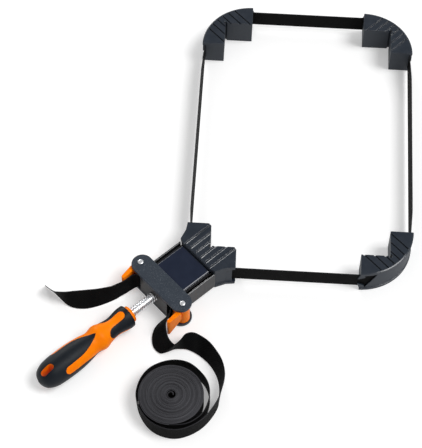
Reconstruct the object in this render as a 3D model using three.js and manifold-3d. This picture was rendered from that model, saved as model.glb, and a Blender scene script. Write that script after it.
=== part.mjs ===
// Screw-tensioned quick-release band clamp for gluing frames and boxes.
// Millimetres, +Z up. The clamp lies flat and its jaws stand on z = 0. The origin is on the underside of
// the front jaw, below the spindle. The clamped frame is a rectangle square to X and Y, and the spindle
// lies on the diagonal of its front left corner.
import * as THREE from 'three';
import { mergeVertices } from 'three/addons/utils/BufferGeometryUtils.js';
import Module from 'manifold-3d';

const wasm = await Module();
wasm.setup();

// Clearance between pieces that touch
const FIT_GAP = 0.3;

// How far a cutting shape runs past the face it cuts, and the slack for rounding of coordinates
const CUT_PAST = 1;
const ROUNDING = 1e-6;

// Frame that is clamped, outside sizes
const WORK_WIDTH = 228;
const WORK_LENGTH = 363;

// Band
const BAND_WIDTH = 25.4;
const BAND_THICKNESS = 1.0;
const BAND_EDGE_PLAY = 1.8;
const BAND_OFFSET = 26.2;
const LANE_GAP = 0.45;

// All four jaws
const FLANGE_THICKNESS = 4.5;
const RELIEF_RADIUS = 2.5;
const GROOVE_PITCH = 9.5;
const GROOVE_COUNT = 6;

// Corner jaws
const CORNER_LEG_LENGTH = 37;
const CORNER_LIP_WIDTH = 3.3;
const CORNER_WALL_CLEARANCE = 0.75;
const CORNER_WALL_HALF_ANGLE = 27;
const TAB_THICKNESS = 2;
const TAB_LENGTH = 6;
const TAB_HOOK_LENGTH = 3;
const TAB_DROP_HEIGHT = 9;
const GROOVE_WIDTH = 2;
const GROOVE_DEPTH = 1.2;
const GROOVE_RIM_WIDTH = 2.6;

// Front jaw
const ARM_LENGTH = 33.5;
const ARM_ROUND = 4.5;
const ARM_WALL_SETBACK = 4;
const ARM_GUARD = 4.3;
const WAIST_REACH = 22;
const WAIST_GUARD = 5.8;
const SHOULDER_STEP = 2.6;
const SHOULDER_GUARD = 5.25;
const JAW_DEPTH = 23.2;
const JAW_RECESS = 1.5;
const JAW_BEND_RADIUS = 20;
const JAW_SLOT_PLAY = 1.9;
const RIDGE_GAP = 1.7;
const RIDGE_SETBACK = 0.8;
const RIDGE_HEIGHT = 1.3;
const STEM_CLEARANCE = 2;
const STEM_WALL = 3;
const ORIGIN_DEPTH = 12;

// Guide body, cover and yoke plates
const BODY_PART_LINE = 1.3;
const BODY_LENGTH = 70;
const CORE_HALF_WIDTH = 25.5;
const CORE_WALL = 3;
const FLOOR_THICKNESS = 3;
const COVER_THICKNESS = 2.5;
const REAR_WALL = 13;
const CHANNEL_PLAY = 3;
const CHANNEL_WALL = 2.2;
const CHANNEL_WALL_DROP = 1.7;
const CHANNEL_LEAD = 2;
const PLATE_THICKNESS = 3.5;
const YOKE_RADIUS = 13.7;
const YOKE_SPREAD = 36.8;
const BOSS_RADIUS = 3;
const BOSS_HEIGHT = 1.8;
const BOSS_SPREAD = 18;

// Levers, rivets and springs
const PIVOT_SETBACK = 56.5;
const PIVOT_SPREAD = 40;
const HUB_RADIUS = 9;
const HUB_CLEARANCE = 2.5;
const NOSE_SETBACK = 1.5;
const NOSE_RADIUS = 8.8;
const LEVER_LENGTH = 30;
const LEVER_TIP_WIDTH = 4.8;
const LEVER_OUTER_EDGE = 8.4;
const LEVER_ROOT = 13;
const LEVER_HEEL = 9;
const LEVER_HEEL_INSIDE = 4;
const LEVER_HEEL_HEIGHT = 15.2;
const LEFT_ARM_TURN = 12;
const RIVET_RADIUS = 2.8;
const RIVET_HEAD_RADIUS = 3.6;
const RIVET_HEAD_HEIGHT = 1.1;
const RIVET_CROWN_RADIUS = 3.1;
const RIVET_CROWN_EDGE = 0.8;
const SPRING_WIRE = 0.9;
const SPRING_CURLS = 3;
const SPRING_PITCH = 1.5;
const SPRING_PLAY = 0.6;

// Spindle, nut, washer and clip
const THREAD_RADIUS = 6.2;
const THREAD_DEPTH = 1.3;
const THREAD_PITCH = 3.5;
const THREAD_CREST = 0.9;
const THREAD_FLANK = 0.85;
const THREAD_TURNS = 15;
const THREAD_RUNOUT = 1.5;
const SPINDLE_SHOWN = 37;
const TANG_LENGTH = 33.5;
const PILOT_RADIUS = 3.4;
const PILOT_TIP = 2.5;
const CLIP_GROOVE_DEPTH = 0.9;
const CLIP_THICKNESS = 1.4;
const CLIP_RADIUS = 6.2;
const CLIP_MOUTH = 4.5;
const WASHER_THICKNESS = 1.5;
const THRUST_BORE_RADIUS = 8;
const THRUST_WALL = 7;
const THRUST_DEPTH = 16;
const NUT_FLATS = 19;
const NUT_LENGTH = 8;

// Handle: stations behind the collar's front face, each with its radius
const COLLAR_LENGTH = 4.2;
const COLLAR_RADIUS = 11.2;
const HANDLE_PROFILE = [
  [4.5, 13.8], [6, 14.9], [14.5, 14.8], [28.5, 12.6], [40.5, 14], [51.5, 16.8], [62.5, 14.6], [74.5, 16.6],
  [90.5, 18.4], [109.5, 18.7], [126.5, 17.6], [136.5, 14.4], [142.5, 9.4], [145.5, 0],
];
const GRIP_THICKNESS = 2;
const GRIP_TONGUES = 3;
const FRONT_RING_END = 11.5;
const FRONT_TONGUE_END = 42;
const FRONT_TONGUE_ANGLE = 37;
const FRONT_TONGUE_TAPER = 0.93;
const REAR_TIP = 55.5;
const REAR_TONGUE_ANGLE = 43;
const REAR_TIP_BLUNT = 0.06;
const REAR_TONGUE_SWELL = 1.6;
const REAR_CAP_START = 114.5;
const HANG_HOLE_STATION = 131.5;
const HANG_HOLE_LENGTH = 18;
const HANG_HOLE_WIDTH = 9;

// Rolled-up band: the middle of the roll behind and beside the work corner
const ROLL_SETBACK = 169;
const ROLL_ASIDE = 120.9;
const ROLL_RADIUS = 41.5;
const ROLL_HOLE = 3.6;
const ROLL_TURNS = 24;
const ROLL_STEPS = 24;
const ROLL_START_ANGLE = 45;
const FLOOR_LIFT = 0.3;

// Free band behind the right lever. Each row is a point on the band's lower edge, as setback, aside and
// height, then how far its upper edge leans in those two directions.
const LEAD_ROUTE = [
  [91, 26.7, 6, 0, 3], [97.5, 27.2, 5.2, 0, 8.5], [105, 27, 4, -0.5, 12], [112.5, 27.2, 2.6, -4, 13.5],
  [120.5, 30, 1.8, -9, 12.5], [129, 36.8, 1.2, -13, 10], [135.5, 47.5, 0.8, -16, 6.5],
  [135, 58.5, 0.8, -14.5, 6], [127.5, 63, 0.8, -6.5, 8], [118.5, 66.8, 0.8, -0.5, 5.5],
  [112.8, 72, 0.8, -0.5, 0], [107.3, 79.4, 0.8, -6, -9.5], [103.6, 89.5, 0.8, -13, -14],
  [101.8, 101, 0.8, -15, -12], [101.8, 112, 0.8, -14.5, -3.5], [103.2, 122.5, 0.8, -13, 2],
  [106.6, 135, 0.8, -9, 3.5], [112, 145, 0.8, -5, 3], [120, 154, 0.6, -2, 2], [134, 163.2, 0.3, 0, 0],
  [158, 169.3, 0.3, 0, 0], [180, 167, 0.3, 0, 0], [198.5, 157, 0.3, 0, 0], [210, 138, 0.3, 0, 0],
  [212.3, 117, 0.3, 0, 0], [203.5, 94, 0.3, 0, 0], [185, 79, 0.3, 0, 0], [162.7, 76, 0.3, 0, 0],
  [139.4, 84.7, 0.3, 0, 0], [125, 102, 0.3, 0, 0], [122.8, 126.5, 0.3, 0, 0],
  [128.6, 143.5, 0.3, 0, 0], [141, 156, 0.3, 0, 0], [160, 164.2, 0.3, 0, 0], [181, 161.4, 0.3, 0, 0],
];

// Free end of the band behind the left lever, in the same form
const TAIL_ROUTE = [
  [91, -27.6, 6, 0, -2.5], [97.5, -31, 5.2, 0, -5], [105, -32.6, 4.2, 0, -4.3],
  [112, -33.6, 3.4, 0.4, -4.2], [119, -35, 2.6, 0.8, -5.2], [128, -36.6, 1.6, 1.8, -8],
  [146, -42, 0.8, 2, -13.5], [161.4, -49.3, 0.8, 2, -15], [172, -60, 0.8, 2, -14.5],
  [178, -71, 0.8, 1.5, -11],
  [181, -83, 0.8, 1, -5], [182, -97, 0.8, 5, 2.5], [181.2, -111, 0.8, 8, 8],
];
const ROUTE_STEPS = 3;

// Facets
const ROUND_SIDES = 24;
const SMALL_SIDES = 12;
const HANDLE_SIDES = 18;
const THREAD_SIDES = 10;
const THREAD_ROWS = 3;
const SPRING_STEPS = 8;
const SPRING_SIDES = 5;
const TONGUE_ROWS = 7;
const TONGUE_COLUMNS = 4;
const ARC_STEPS = 10;
const SMALL_ARC_STEPS = 6;

// Heights that the band and the plates set
const JAW_HEIGHT = BAND_WIDTH + 2 * (BAND_EDGE_PLAY + FLANGE_THICKNESS);
const AXIS_HEIGHT = JAW_HEIGHT / 2;
const SLOT_LOW = FLANGE_THICKNESS;
const SLOT_HIGH = JAW_HEIGHT - FLANGE_THICKNESS;
const BAND_LOW = AXIS_HEIGHT - BAND_WIDTH / 2;
const PLATE_LOW = JAW_HEIGHT - PLATE_THICKNESS;
const BODY_LOW = PLATE_THICKNESS + FIT_GAP;
const BODY_HIGH = PLATE_LOW - FIT_GAP;
const COVER_LOW = BODY_HIGH - COVER_THICKNESS;
const TRAY_TOP = COVER_LOW - FIT_GAP;
const CAVITY_LOW = BODY_LOW + FLOOR_THICKNESS;

// Places along the spindle, measured back from the work corner
const BODY_FRONT = JAW_DEPTH + BODY_PART_LINE;
const BODY_END = BODY_FRONT + BODY_LENGTH;
const REAR_WALL_FACE = BODY_END - REAR_WALL;
const STEM_END = REAR_WALL_FACE - STEM_CLEARANCE;
const PIVOT = BODY_FRONT + PIVOT_SETBACK;
const CHANNEL_END = PIVOT - HUB_RADIUS - HUB_CLEARANCE;
const HANDLE_FRONT = BODY_END + SPINDLE_SHOWN;

// Places across the spindle
const FREE_LANE = CORE_HALF_WIDTH + FIT_GAP + BAND_THICKNESS / 2;
const LOOP_LANE = FREE_LANE + BAND_THICKNESS + LANE_GAP;
const CHANNEL_SIDE = LOOP_LANE + BAND_THICKNESS / 2 + CHANNEL_PLAY;
const STEM_HALF_WIDTH = CORE_HALF_WIDTH - CORE_WALL - FIT_GAP;

// Band round the corner jaws
const CORNER_BAND_RADIUS = CORNER_LEG_LENGTH + BAND_OFFSET;

const ROOT_TWO = Math.sqrt(2);
const radians = THREE.MathUtils.degToRad;

// The work corner in the part's frame, and the turn of the spindle's own axes against it
const CORNER = ORIGIN_DEPTH / ROOT_TWO;
const DIAGONAL = 225;

// Work coordinates (x, y) to spindle coordinates (setback, aside), and back
function toHead([x, y]) {
  return [-(x + y) / ROOT_TWO, (x - y) / ROOT_TWO];
}

function toWork([setback, aside]) {
  return [(aside - setback) / ROOT_TWO, -(aside + setback) / ROOT_TWO];
}

// Closed solids for cutting and joining
function solid(geometry) {
  geometry.deleteAttribute('normal');
  geometry.deleteAttribute('uv');
  const merged = mergeVertices(geometry);
  return new wasm.Manifold(new wasm.Mesh({
    numProp: 3,
    vertProperties: merged.attributes.position.array,
    triVerts: new Uint32Array(merged.index.array),
  }));
}

function join(first, ...others) {
  return others.reduce((whole, other) => whole.add(other), first);
}

function cut(first, ...others) {
  return others.reduce((rest, other) => rest.subtract(other), first);
}

function shapeOf(points) {
  return new THREE.Shape(points.map(([x, y]) => new THREE.Vector2(x, y)));
}

function prism(points, low, high) {
  const geometry = new THREE.ExtrudeGeometry(shapeOf(points), { depth: high - low, bevelEnabled: false });
  return solid(geometry.translate(0, 0, low));
}

function block(x0, x1, y0, y1, z0, z1) {
  const geometry = new THREE.BoxGeometry(x1 - x0, y1 - y0, z1 - z0);
  return solid(geometry.translate((x0 + x1) / 2, (y0 + y1) / 2, (z0 + z1) / 2));
}

// Round about an upright line
function post(x, y, radius, low, high, sides = SMALL_SIDES) {
  const geometry = new THREE.CylinderGeometry(radius, radius, high - low, sides);
  return solid(geometry.rotateX(Math.PI / 2).translate(x, y, (low + high) / 2));
}

// Round about the spindle's axis
function rod(from, to, radius, sides = ROUND_SIDES) {
  const geometry = new THREE.CylinderGeometry(radius, radius, to - from, sides);
  return solid(geometry.rotateZ(-Math.PI / 2).translate((from + to) / 2, 0, AXIS_HEIGHT));
}

function turned(profile, sides) {
  const points = profile.map(([station, radius]) => new THREE.Vector2(radius, station));
  const geometry = new THREE.LatheGeometry(points, sides);
  return solid(geometry.rotateZ(-Math.PI / 2).translate(0, 0, AXIS_HEIGHT));
}

// Closed solid through a row of rings that all have the same number of points
function tube(rings) {
  const count = rings[0].length;
  const last = (rings.length - 1) * count;
  const index = [];
  for (let ring = 0; ring < rings.length - 1; ring += 1) {
    for (let side = 0; side < count; side += 1) {
      const a = ring * count + side;
      const b = ring * count + ((side + 1) % count);
      index.push(a, b, b + count, a, b + count, a + count);
    }
  }
  for (let side = 1; side < count - 1; side += 1) {
    index.push(0, side + 1, side);
    index.push(last, last + side, last + side + 1);
  }
  const geometry = new THREE.BufferGeometry();
  geometry.setAttribute('position', new THREE.Float32BufferAttribute(rings.flat(2), 3));
  geometry.setIndex(index);
  return solid(geometry);
}

function arc([x, y], radius, from, to, steps = ARC_STEPS) {
  const points = [];
  for (let step = 0; step <= steps; step += 1) {
    const angle = radians(from + ((to - from) * step) / steps);
    points.push([x + radius * Math.cos(angle), y + radius * Math.sin(angle)]);
  }
  return points;
}

// Left-hand normals of a path in plan
function pathNormals(path) {
  return path.map((point, at) => {
    const before = path[Math.max(at - 1, 0)];
    const after = path[Math.min(at + 1, path.length - 1)];
    const length = Math.hypot(after[0] - before[0], after[1] - before[1]);
    return [-(after[1] - before[1]) / length, (after[0] - before[0]) / length];
  });
}

function offsetPath(path, distance) {
  const normals = pathNormals(path);
  return path.map(([x, y], at) => [x + normals[at][0] * distance, y + normals[at][1] * distance]);
}

function mirrorAside(points) {
  return points.map(([setback, aside]) => [setback, -aside]).reverse();
}

// Meshes of the assembly
function piece(parent, name, body, finish) {
  const mesh = body.getMesh();
  const geometry = new THREE.BufferGeometry();
  geometry.setAttribute('position', new THREE.Float32BufferAttribute(mesh.vertProperties, 3));
  geometry.setIndex(Array.from(mesh.triVerts));
  geometry.computeVertexNormals();
  const part = new THREE.Mesh(geometry, new THREE.MeshStandardMaterial(finish));
  part.name = name;
  parent.add(part);
  return part;
}

const BLACK_PLASTIC = { color: 0x2a2f36, roughness: 0.45, metalness: 0 };
const NAVY_PLASTIC = { color: 0x252c3a, roughness: 0.4, metalness: 0 };
const SLATE_PLATE = { color: 0x3b414a, roughness: 0.6, metalness: 0.2 };
const ORANGE_PLASTIC = { color: 0xfa870f, roughness: 0.35, metalness: 0 };
const GRIP_RUBBER = { color: 0x2c3036, roughness: 0.7, metalness: 0 };
const ZINC_STEEL = { color: 0xcfd2d6, roughness: 0.3, metalness: 1 };
const SPRING_STEEL = { color: 0x8d9298, roughness: 0.35, metalness: 1 };
const BLACK_NYLON = { color: 0x131315, roughness: 0.75, metalness: 0 };

const clamp = new THREE.Group();
const work = new THREE.Group();
work.position.set(CORNER, CORNER, 0);
clamp.add(work);
const head = new THREE.Group();
head.position.set(CORNER, CORNER, 0);
head.rotation.z = radians(DIAGONAL);
clamp.add(head);

// Corner jaw, drawn at the front left corner: two work faces, an arc that the band slides round, top and
// bottom flanges, an outer wall over the middle of the arc and lips that keep the band in at the ends.
function cornerJaw() {
  const centre = [CORNER_LEG_LENGTH, CORNER_LEG_LENGTH];
  const rim = CORNER_BAND_RADIUS + CORNER_LIP_WIDTH;
  const quarter = (radius, inset) => {
    const legEnd = CORNER_LEG_LENGTH - inset;
    const within = ([x, y]) => Math.max(x, y) < legEnd + ROUNDING;
    const outer = arc(centre, radius, 180, 270).filter(within);
    return [[legEnd, -inset], [-inset, -inset], [-inset, legEnd], ...outer];
  };
  const flange = quarter(rim, 0);
  const web = quarter(CORNER_BAND_RADIUS - BAND_THICKNESS / 2 - FIT_GAP, 0);
  const wallInside = CORNER_BAND_RADIUS + BAND_THICKNESS / 2 + CORNER_WALL_CLEARANCE;
  const wallFrom = DIAGONAL - CORNER_WALL_HALF_ANGLE;
  const wallTo = DIAGONAL + CORNER_WALL_HALF_ANGLE;
  const wall = [...arc(centre, rim, wallFrom, wallTo), ...arc(centre, wallInside, wallTo, wallFrom)];
  let body = join(
    prism(web, 0, JAW_HEIGHT),
    prism(flange, 0, SLOT_LOW),
    prism(flange, SLOT_HIGH, JAW_HEIGHT),
    prism(wall, SLOT_LOW / 2, JAW_HEIGHT - SLOT_LOW / 2),
  );
  const outside = CORNER_LEG_LENGTH - rim;
  const inside = outside + TAB_THICKNESS;
  const tabFrom = CORNER_LEG_LENGTH - TAB_LENGTH;
  const tabTo = CORNER_LEG_LENGTH + TAB_HOOK_LENGTH;
  for (const [low, high] of [[0, SLOT_LOW + TAB_DROP_HEIGHT], [SLOT_HIGH - TAB_DROP_HEIGHT, JAW_HEIGHT]]) {
    body = join(
      body,
      block(outside, inside, tabFrom, tabTo, low, high),
      block(tabFrom, tabTo, outside, inside, low, high),
    );
  }
  const floor = JAW_HEIGHT - GROOVE_DEPTH;
  const field = prism(quarter(rim - GROOVE_RIM_WIDTH, GROOVE_RIM_WIDTH), floor, JAW_HEIGHT + GROOVE_DEPTH);
  for (let groove = 0; groove < GROOVE_COUNT; groove += 1) {
    const aside = (groove - (GROOVE_COUNT - 1) / 2) * GROOVE_PITCH;
    const strip = [
      [rim, aside - GROOVE_WIDTH / 2],
      [rim, aside + GROOVE_WIDTH / 2],
      [-rim, aside + GROOVE_WIDTH / 2],
      [-rim, aside - GROOVE_WIDTH / 2],
    ];
    const bar = prism(strip.map(toWork), floor - CUT_PAST, JAW_HEIGHT + CUT_PAST);
    body = cut(body, bar.intersect(field));
  }
  return cut(body, post(0, 0, RELIEF_RADIUS, -CUT_PAST, JAW_HEIGHT + CUT_PAST));
}

const cornerPlaces = [
  ['corner_jaw_front_right', WORK_WIDTH, 0, 90],
  ['corner_jaw_back_right', WORK_WIDTH, WORK_LENGTH, 180],
  ['corner_jaw_back_left', 0, WORK_LENGTH, 270],
];
for (const [name, x, y, turn] of cornerPlaces) {
  const jaw = piece(work, name, cornerJaw(), BLACK_PLASTIC);
  jaw.position.set(x, y, 0);
  jaw.rotation.z = radians(turn);
}

// Path of the band on the right of the front jaw, from its end in the guide channel, round the bend in
// the jaw and out along the front of the work
const LOOP_END = CHANNEL_END - HUB_CLEARANCE;
const bendCentre = [
  ROOT_TWO * (BAND_OFFSET + JAW_BEND_RADIUS) - (LOOP_LANE + JAW_BEND_RADIUS),
  LOOP_LANE + JAW_BEND_RADIUS,
];
const bend = arc(bendCentre, JAW_BEND_RADIUS, 270, DIAGONAL, ARC_STEPS / 2);

// Front jaw: a V that takes the work corner, two slots that turn the band back towards the guide channels,
// a ridged top, and a square stem that slides in the guide body and holds the spindle's thrust seat
function frontJaw() {
  const flangeSide = (recess) => {
    const tip = arc([ARM_LENGTH - ARM_ROUND, -ARM_ROUND], ARM_ROUND, 90, 0, SMALL_ARC_STEPS).map(toHead);
    const end = toHead([ARM_LENGTH, recess - BAND_OFFSET - ARM_GUARD]);
    const waist = toHead([WAIST_REACH, recess - BAND_OFFSET - WAIST_GUARD]);
    const shoulder = [JAW_DEPTH - SHOULDER_STEP, LOOP_LANE + SHOULDER_GUARD - recess];
    return [...tip, end, waist, shoulder, [JAW_DEPTH, CORE_HALF_WIDTH]];
  };
  const outline = (recess) => [[0, 0], ...flangeSide(recess), ...mirrorAside(flangeSide(recess))];
  const slotSide = [
    [JAW_DEPTH + BODY_PART_LINE, LOOP_LANE],
    ...bend,
    toHead([ARM_LENGTH + BODY_PART_LINE, -BAND_OFFSET]),
  ];
  const outer = -(BAND_THICKNESS / 2 + FIT_GAP);
  const inner = BAND_THICKNESS / 2 + JAW_SLOT_PLAY;
  const slot = [...offsetPath(slotSide, outer), ...offsetPath(slotSide, inner).reverse()];
  const stemLow = CAVITY_LOW + FIT_GAP;
  const stemHigh = COVER_LOW - FIT_GAP;
  let body = join(
    prism(outline(0), 0, SLOT_LOW),
    prism(outline(JAW_RECESS), SLOT_LOW / 2, JAW_HEIGHT - SLOT_LOW / 2),
    prism(outline(0), SLOT_HIGH, JAW_HEIGHT),
    block(JAW_DEPTH / 2, STEM_END, -STEM_HALF_WIDTH, STEM_HALF_WIDTH, stemLow, stemHigh),
  );
  const ridgeTop = JAW_HEIGHT + RIDGE_HEIGHT;
  const ridgeField = prism(outline(0), SLOT_HIGH, ridgeTop);
  const ridgeHalf = (GROOVE_PITCH - RIDGE_GAP) / 2;
  const ridgeEnd = JAW_DEPTH - RIDGE_SETBACK;
  const pastArms = 2 * ARM_LENGTH;
  for (let ridge = 0; ridge <= GROOVE_COUNT; ridge += 1) {
    const aside = (ridge - GROOVE_COUNT / 2) * GROOVE_PITCH;
    const rounding = arc([ridgeEnd - ridgeHalf, aside], ridgeHalf, -90, 90, SMALL_ARC_STEPS);
    const near = aside - ridgeHalf;
    const far = aside + ridgeHalf;
    let bar = [[-ARM_LENGTH, near], ...rounding, [-ARM_LENGTH, far]];
    if (ridge === 0) bar = [[ridgeEnd, -pastArms], [ridgeEnd, far], [-ARM_LENGTH, far]];
    if (ridge === GROOVE_COUNT) bar = [[-ARM_LENGTH, near], [ridgeEnd, near], [ridgeEnd, pastArms]];
    body = join(body, prism(bar, SLOT_HIGH, ridgeTop).intersect(ridgeField));
  }
  const wallEnd = (side) => {
    const from = ARM_LENGTH - ARM_WALL_SETBACK;
    const to = ARM_LENGTH + CUT_PAST;
    const past = -BAND_OFFSET - 2 * ARM_GUARD;
    const corners = [[from, -BAND_OFFSET], [from, past], [to, past], [to, -BAND_OFFSET]].map(toHead);
    return prism(side > 0 ? corners : mirrorAside(corners), SLOT_LOW, SLOT_HIGH);
  };
  const pocketInside = THRUST_BORE_RADIUS + STEM_WALL;
  const pocketOutside = STEM_HALF_WIDTH - STEM_WALL;
  const pocketFront = JAW_DEPTH + STEM_WALL;
  const pocketLow = stemLow + STEM_WALL;
  const pocketHigh = stemHigh - STEM_WALL;
  return cut(
    body,
    prism(slot, SLOT_LOW, SLOT_HIGH),
    prism(mirrorAside(slot), SLOT_LOW, SLOT_HIGH),
    wallEnd(1),
    wallEnd(-1),
    rod(-ARM_LENGTH, THRUST_DEPTH - THRUST_WALL, THRUST_BORE_RADIUS),
    rod(0, THRUST_DEPTH + CUT_PAST, PILOT_RADIUS + FIT_GAP, SMALL_SIDES),
    rod(THRUST_DEPTH, STEM_END + CUT_PAST, THRUST_BORE_RADIUS),
    block(pocketFront, STEM_END + CUT_PAST, pocketInside, pocketOutside, pocketLow, pocketHigh),
    block(pocketFront, STEM_END + CUT_PAST, -pocketOutside, -pocketInside, pocketLow, pocketHigh),
    post(0, 0, RELIEF_RADIUS, -CUT_PAST, ridgeTop + CUT_PAST),
  );
}

piece(head, 'front_jaw', frontJaw(), BLACK_PLASTIC);

// Band round the work: one run between its two ends in the guide channels
function bandLoop() {
  const right = [[LOOP_END, LOOP_LANE], ...bend].map(toWork);
  const left = right.map(([x, y]) => [y, x]).reverse();
  const far = [WORK_WIDTH - CORNER_LEG_LENGTH, WORK_LENGTH - CORNER_LEG_LENGTH];
  const path = [
    ...right,
    ...arc([far[0], CORNER_LEG_LENGTH], CORNER_BAND_RADIUS, -90, 0),
    ...arc(far, CORNER_BAND_RADIUS, 0, 90),
    ...arc([CORNER_LEG_LENGTH, far[1]], CORNER_BAND_RADIUS, 90, 180),
    ...left,
  ];
  const inside = offsetPath(path, BAND_THICKNESS / 2);
  const outside = offsetPath(path, -BAND_THICKNESS / 2);
  const high = BAND_LOW + BAND_WIDTH;
  return tube(path.map((point, at) => [
    [...outside[at], BAND_LOW],
    [...inside[at], BAND_LOW],
    [...inside[at], high],
    [...outside[at], high],
  ]));
}

piece(work, 'band_loop', bandLoop(), BLACK_NYLON);

// Guide body: a tray that the front jaw's stem slides in, a band channel along each side and a rear wall
// that holds the nut
function hexagon(flats, from, to) {
  const geometry = new THREE.CylinderGeometry(flats / Math.sqrt(3), flats / Math.sqrt(3), to - from, 6);
  return solid(geometry.rotateZ(-Math.PI / 2).translate((from + to) / 2, 0, AXIS_HEIGHT));
}

function guideBody() {
  const cavityHalf = CORE_HALF_WIDTH - CORE_WALL;
  let body = block(BODY_FRONT, BODY_END, -CORE_HALF_WIDTH, CORE_HALF_WIDTH, BODY_LOW, TRAY_TOP);
  const wallOutside = CHANNEL_SIDE + CHANNEL_WALL;
  const wallTop = BODY_HIGH - CHANNEL_WALL_DROP;
  const channelFloor = BAND_LOW - FIT_GAP;
  for (const side of [-1, 1]) {
    const span = (near, far) => (side > 0 ? [near, far] : [-far, -near]);
    const floorSpan = span(CORE_HALF_WIDTH - CORE_WALL, wallOutside);
    body = join(
      body,
      block(BODY_FRONT, CHANNEL_END, ...floorSpan, BODY_LOW, channelFloor),
      block(BODY_FRONT - CHANNEL_LEAD, CHANNEL_END, ...span(CHANNEL_SIDE, wallOutside), BODY_LOW, wallTop),
      post(PIVOT, side * BOSS_SPREAD, BOSS_RADIUS, BODY_LOW - BOSS_HEIGHT, CAVITY_LOW),
    );
  }
  const cavityFront = BODY_FRONT - CUT_PAST;
  const cavityTop = TRAY_TOP + CUT_PAST;
  const nutSeat = REAR_WALL_FACE + NUT_LENGTH + FIT_GAP;
  return cut(
    body,
    block(cavityFront, REAR_WALL_FACE, -cavityHalf, cavityHalf, CAVITY_LOW, cavityTop),
    hexagon(NUT_FLATS + 2 * FIT_GAP, REAR_WALL_FACE - CUT_PAST, nutSeat),
    rod(REAR_WALL_FACE, BODY_END + CUT_PAST, THREAD_RADIUS + FIT_GAP, SMALL_SIDES),
  );
}

piece(head, 'guide_body', guideBody(), BLACK_PLASTIC);

// Cover of the guide body, held down by the yoke's top plate
function bodyCover() {
  let cover = block(BODY_FRONT, BODY_END, -CORE_HALF_WIDTH, CORE_HALF_WIDTH, COVER_LOW, BODY_HIGH);
  for (const side of [-1, 1]) {
    const boss = post(PIVOT, side * BOSS_SPREAD, BOSS_RADIUS, COVER_LOW, BODY_HIGH + BOSS_HEIGHT);
    cover = join(cover, boss);
  }
  return cover;
}

piece(head, 'body_cover', bodyCover(), NAVY_PLASTIC);

// Yoke plates over and under the guide body. They carry the two lever rivets.
function yokePlate(low, bossFrom, bossTo) {
  const outline = [
    ...arc([PIVOT, YOKE_SPREAD], YOKE_RADIUS, 0, 180),
    ...arc([PIVOT, -YOKE_SPREAD], YOKE_RADIUS, 180, 360),
  ];
  let plate = prism(outline, low, low + PLATE_THICKNESS);
  for (const side of [-1, 1]) {
    const top = low + PLATE_THICKNESS + CUT_PAST;
    const hole = post(PIVOT, side * PIVOT_SPREAD, RIVET_RADIUS + FIT_GAP, low - CUT_PAST, top);
    const socket = post(PIVOT, side * BOSS_SPREAD, BOSS_RADIUS + FIT_GAP, bossFrom, bossTo);
    plate = cut(plate, hole, socket);
  }
  return plate;
}

const topPlate = yokePlate(PLATE_LOW, PLATE_LOW - CUT_PAST, PLATE_LOW + BOSS_HEIGHT);
piece(head, 'yoke_top_plate', topPlate, SLATE_PLATE);

const headSeat = FIT_GAP + RIVET_HEAD_HEIGHT + FIT_GAP;
let bottomPlate = yokePlate(0, PLATE_THICKNESS - BOSS_HEIGHT, PLATE_THICKNESS + CUT_PAST);
for (const side of [-1, 1]) {
  const seat = post(PIVOT, side * PIVOT_SPREAD, RIVET_HEAD_RADIUS + FIT_GAP, -CUT_PAST, headSeat);
  bottomPlate = cut(bottomPlate, seat);
}
piece(head, 'yoke_bottom_plate', bottomPlate, SLATE_PLATE);

// Rivets: a flush head below and a low domed head on top
function rivet(aside) {
  const foot = FIT_GAP;
  const crown = JAW_HEIGHT + FIT_GAP;
  const profile = [
    [0, foot],
    [RIVET_HEAD_RADIUS, foot],
    [RIVET_HEAD_RADIUS, foot + RIVET_HEAD_HEIGHT],
    [RIVET_RADIUS, foot + RIVET_HEAD_HEIGHT],
    [RIVET_RADIUS, crown],
    [RIVET_HEAD_RADIUS, crown],
    [RIVET_CROWN_RADIUS, crown + RIVET_CROWN_EDGE],
    [0, crown + RIVET_HEAD_HEIGHT],
  ];
  const points = profile.map(([radius, height]) => new THREE.Vector2(radius, height));
  const geometry = new THREE.LatheGeometry(points, SMALL_SIDES);
  return solid(geometry.rotateX(Math.PI / 2).translate(PIVOT, aside, 0));
}

// Cam levers. The nose grips the band against the guide body and lies a little behind the rivet, so the
// band's pull draws it tighter, and swinging the lever outwards lets the band go. The left lever's arm stands
// a little further in.
const leverLow = PLATE_THICKNESS + FIT_GAP;
const leverHigh = PLATE_LOW - FIT_GAP;
const springRadius = RIVET_RADIUS + SPRING_PLAY + SPRING_WIRE / 2;
const springHeight = SPRING_CURLS * SPRING_PITCH + SPRING_WIRE;
const springSeat = leverHigh - springHeight - FIT_GAP;

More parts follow.
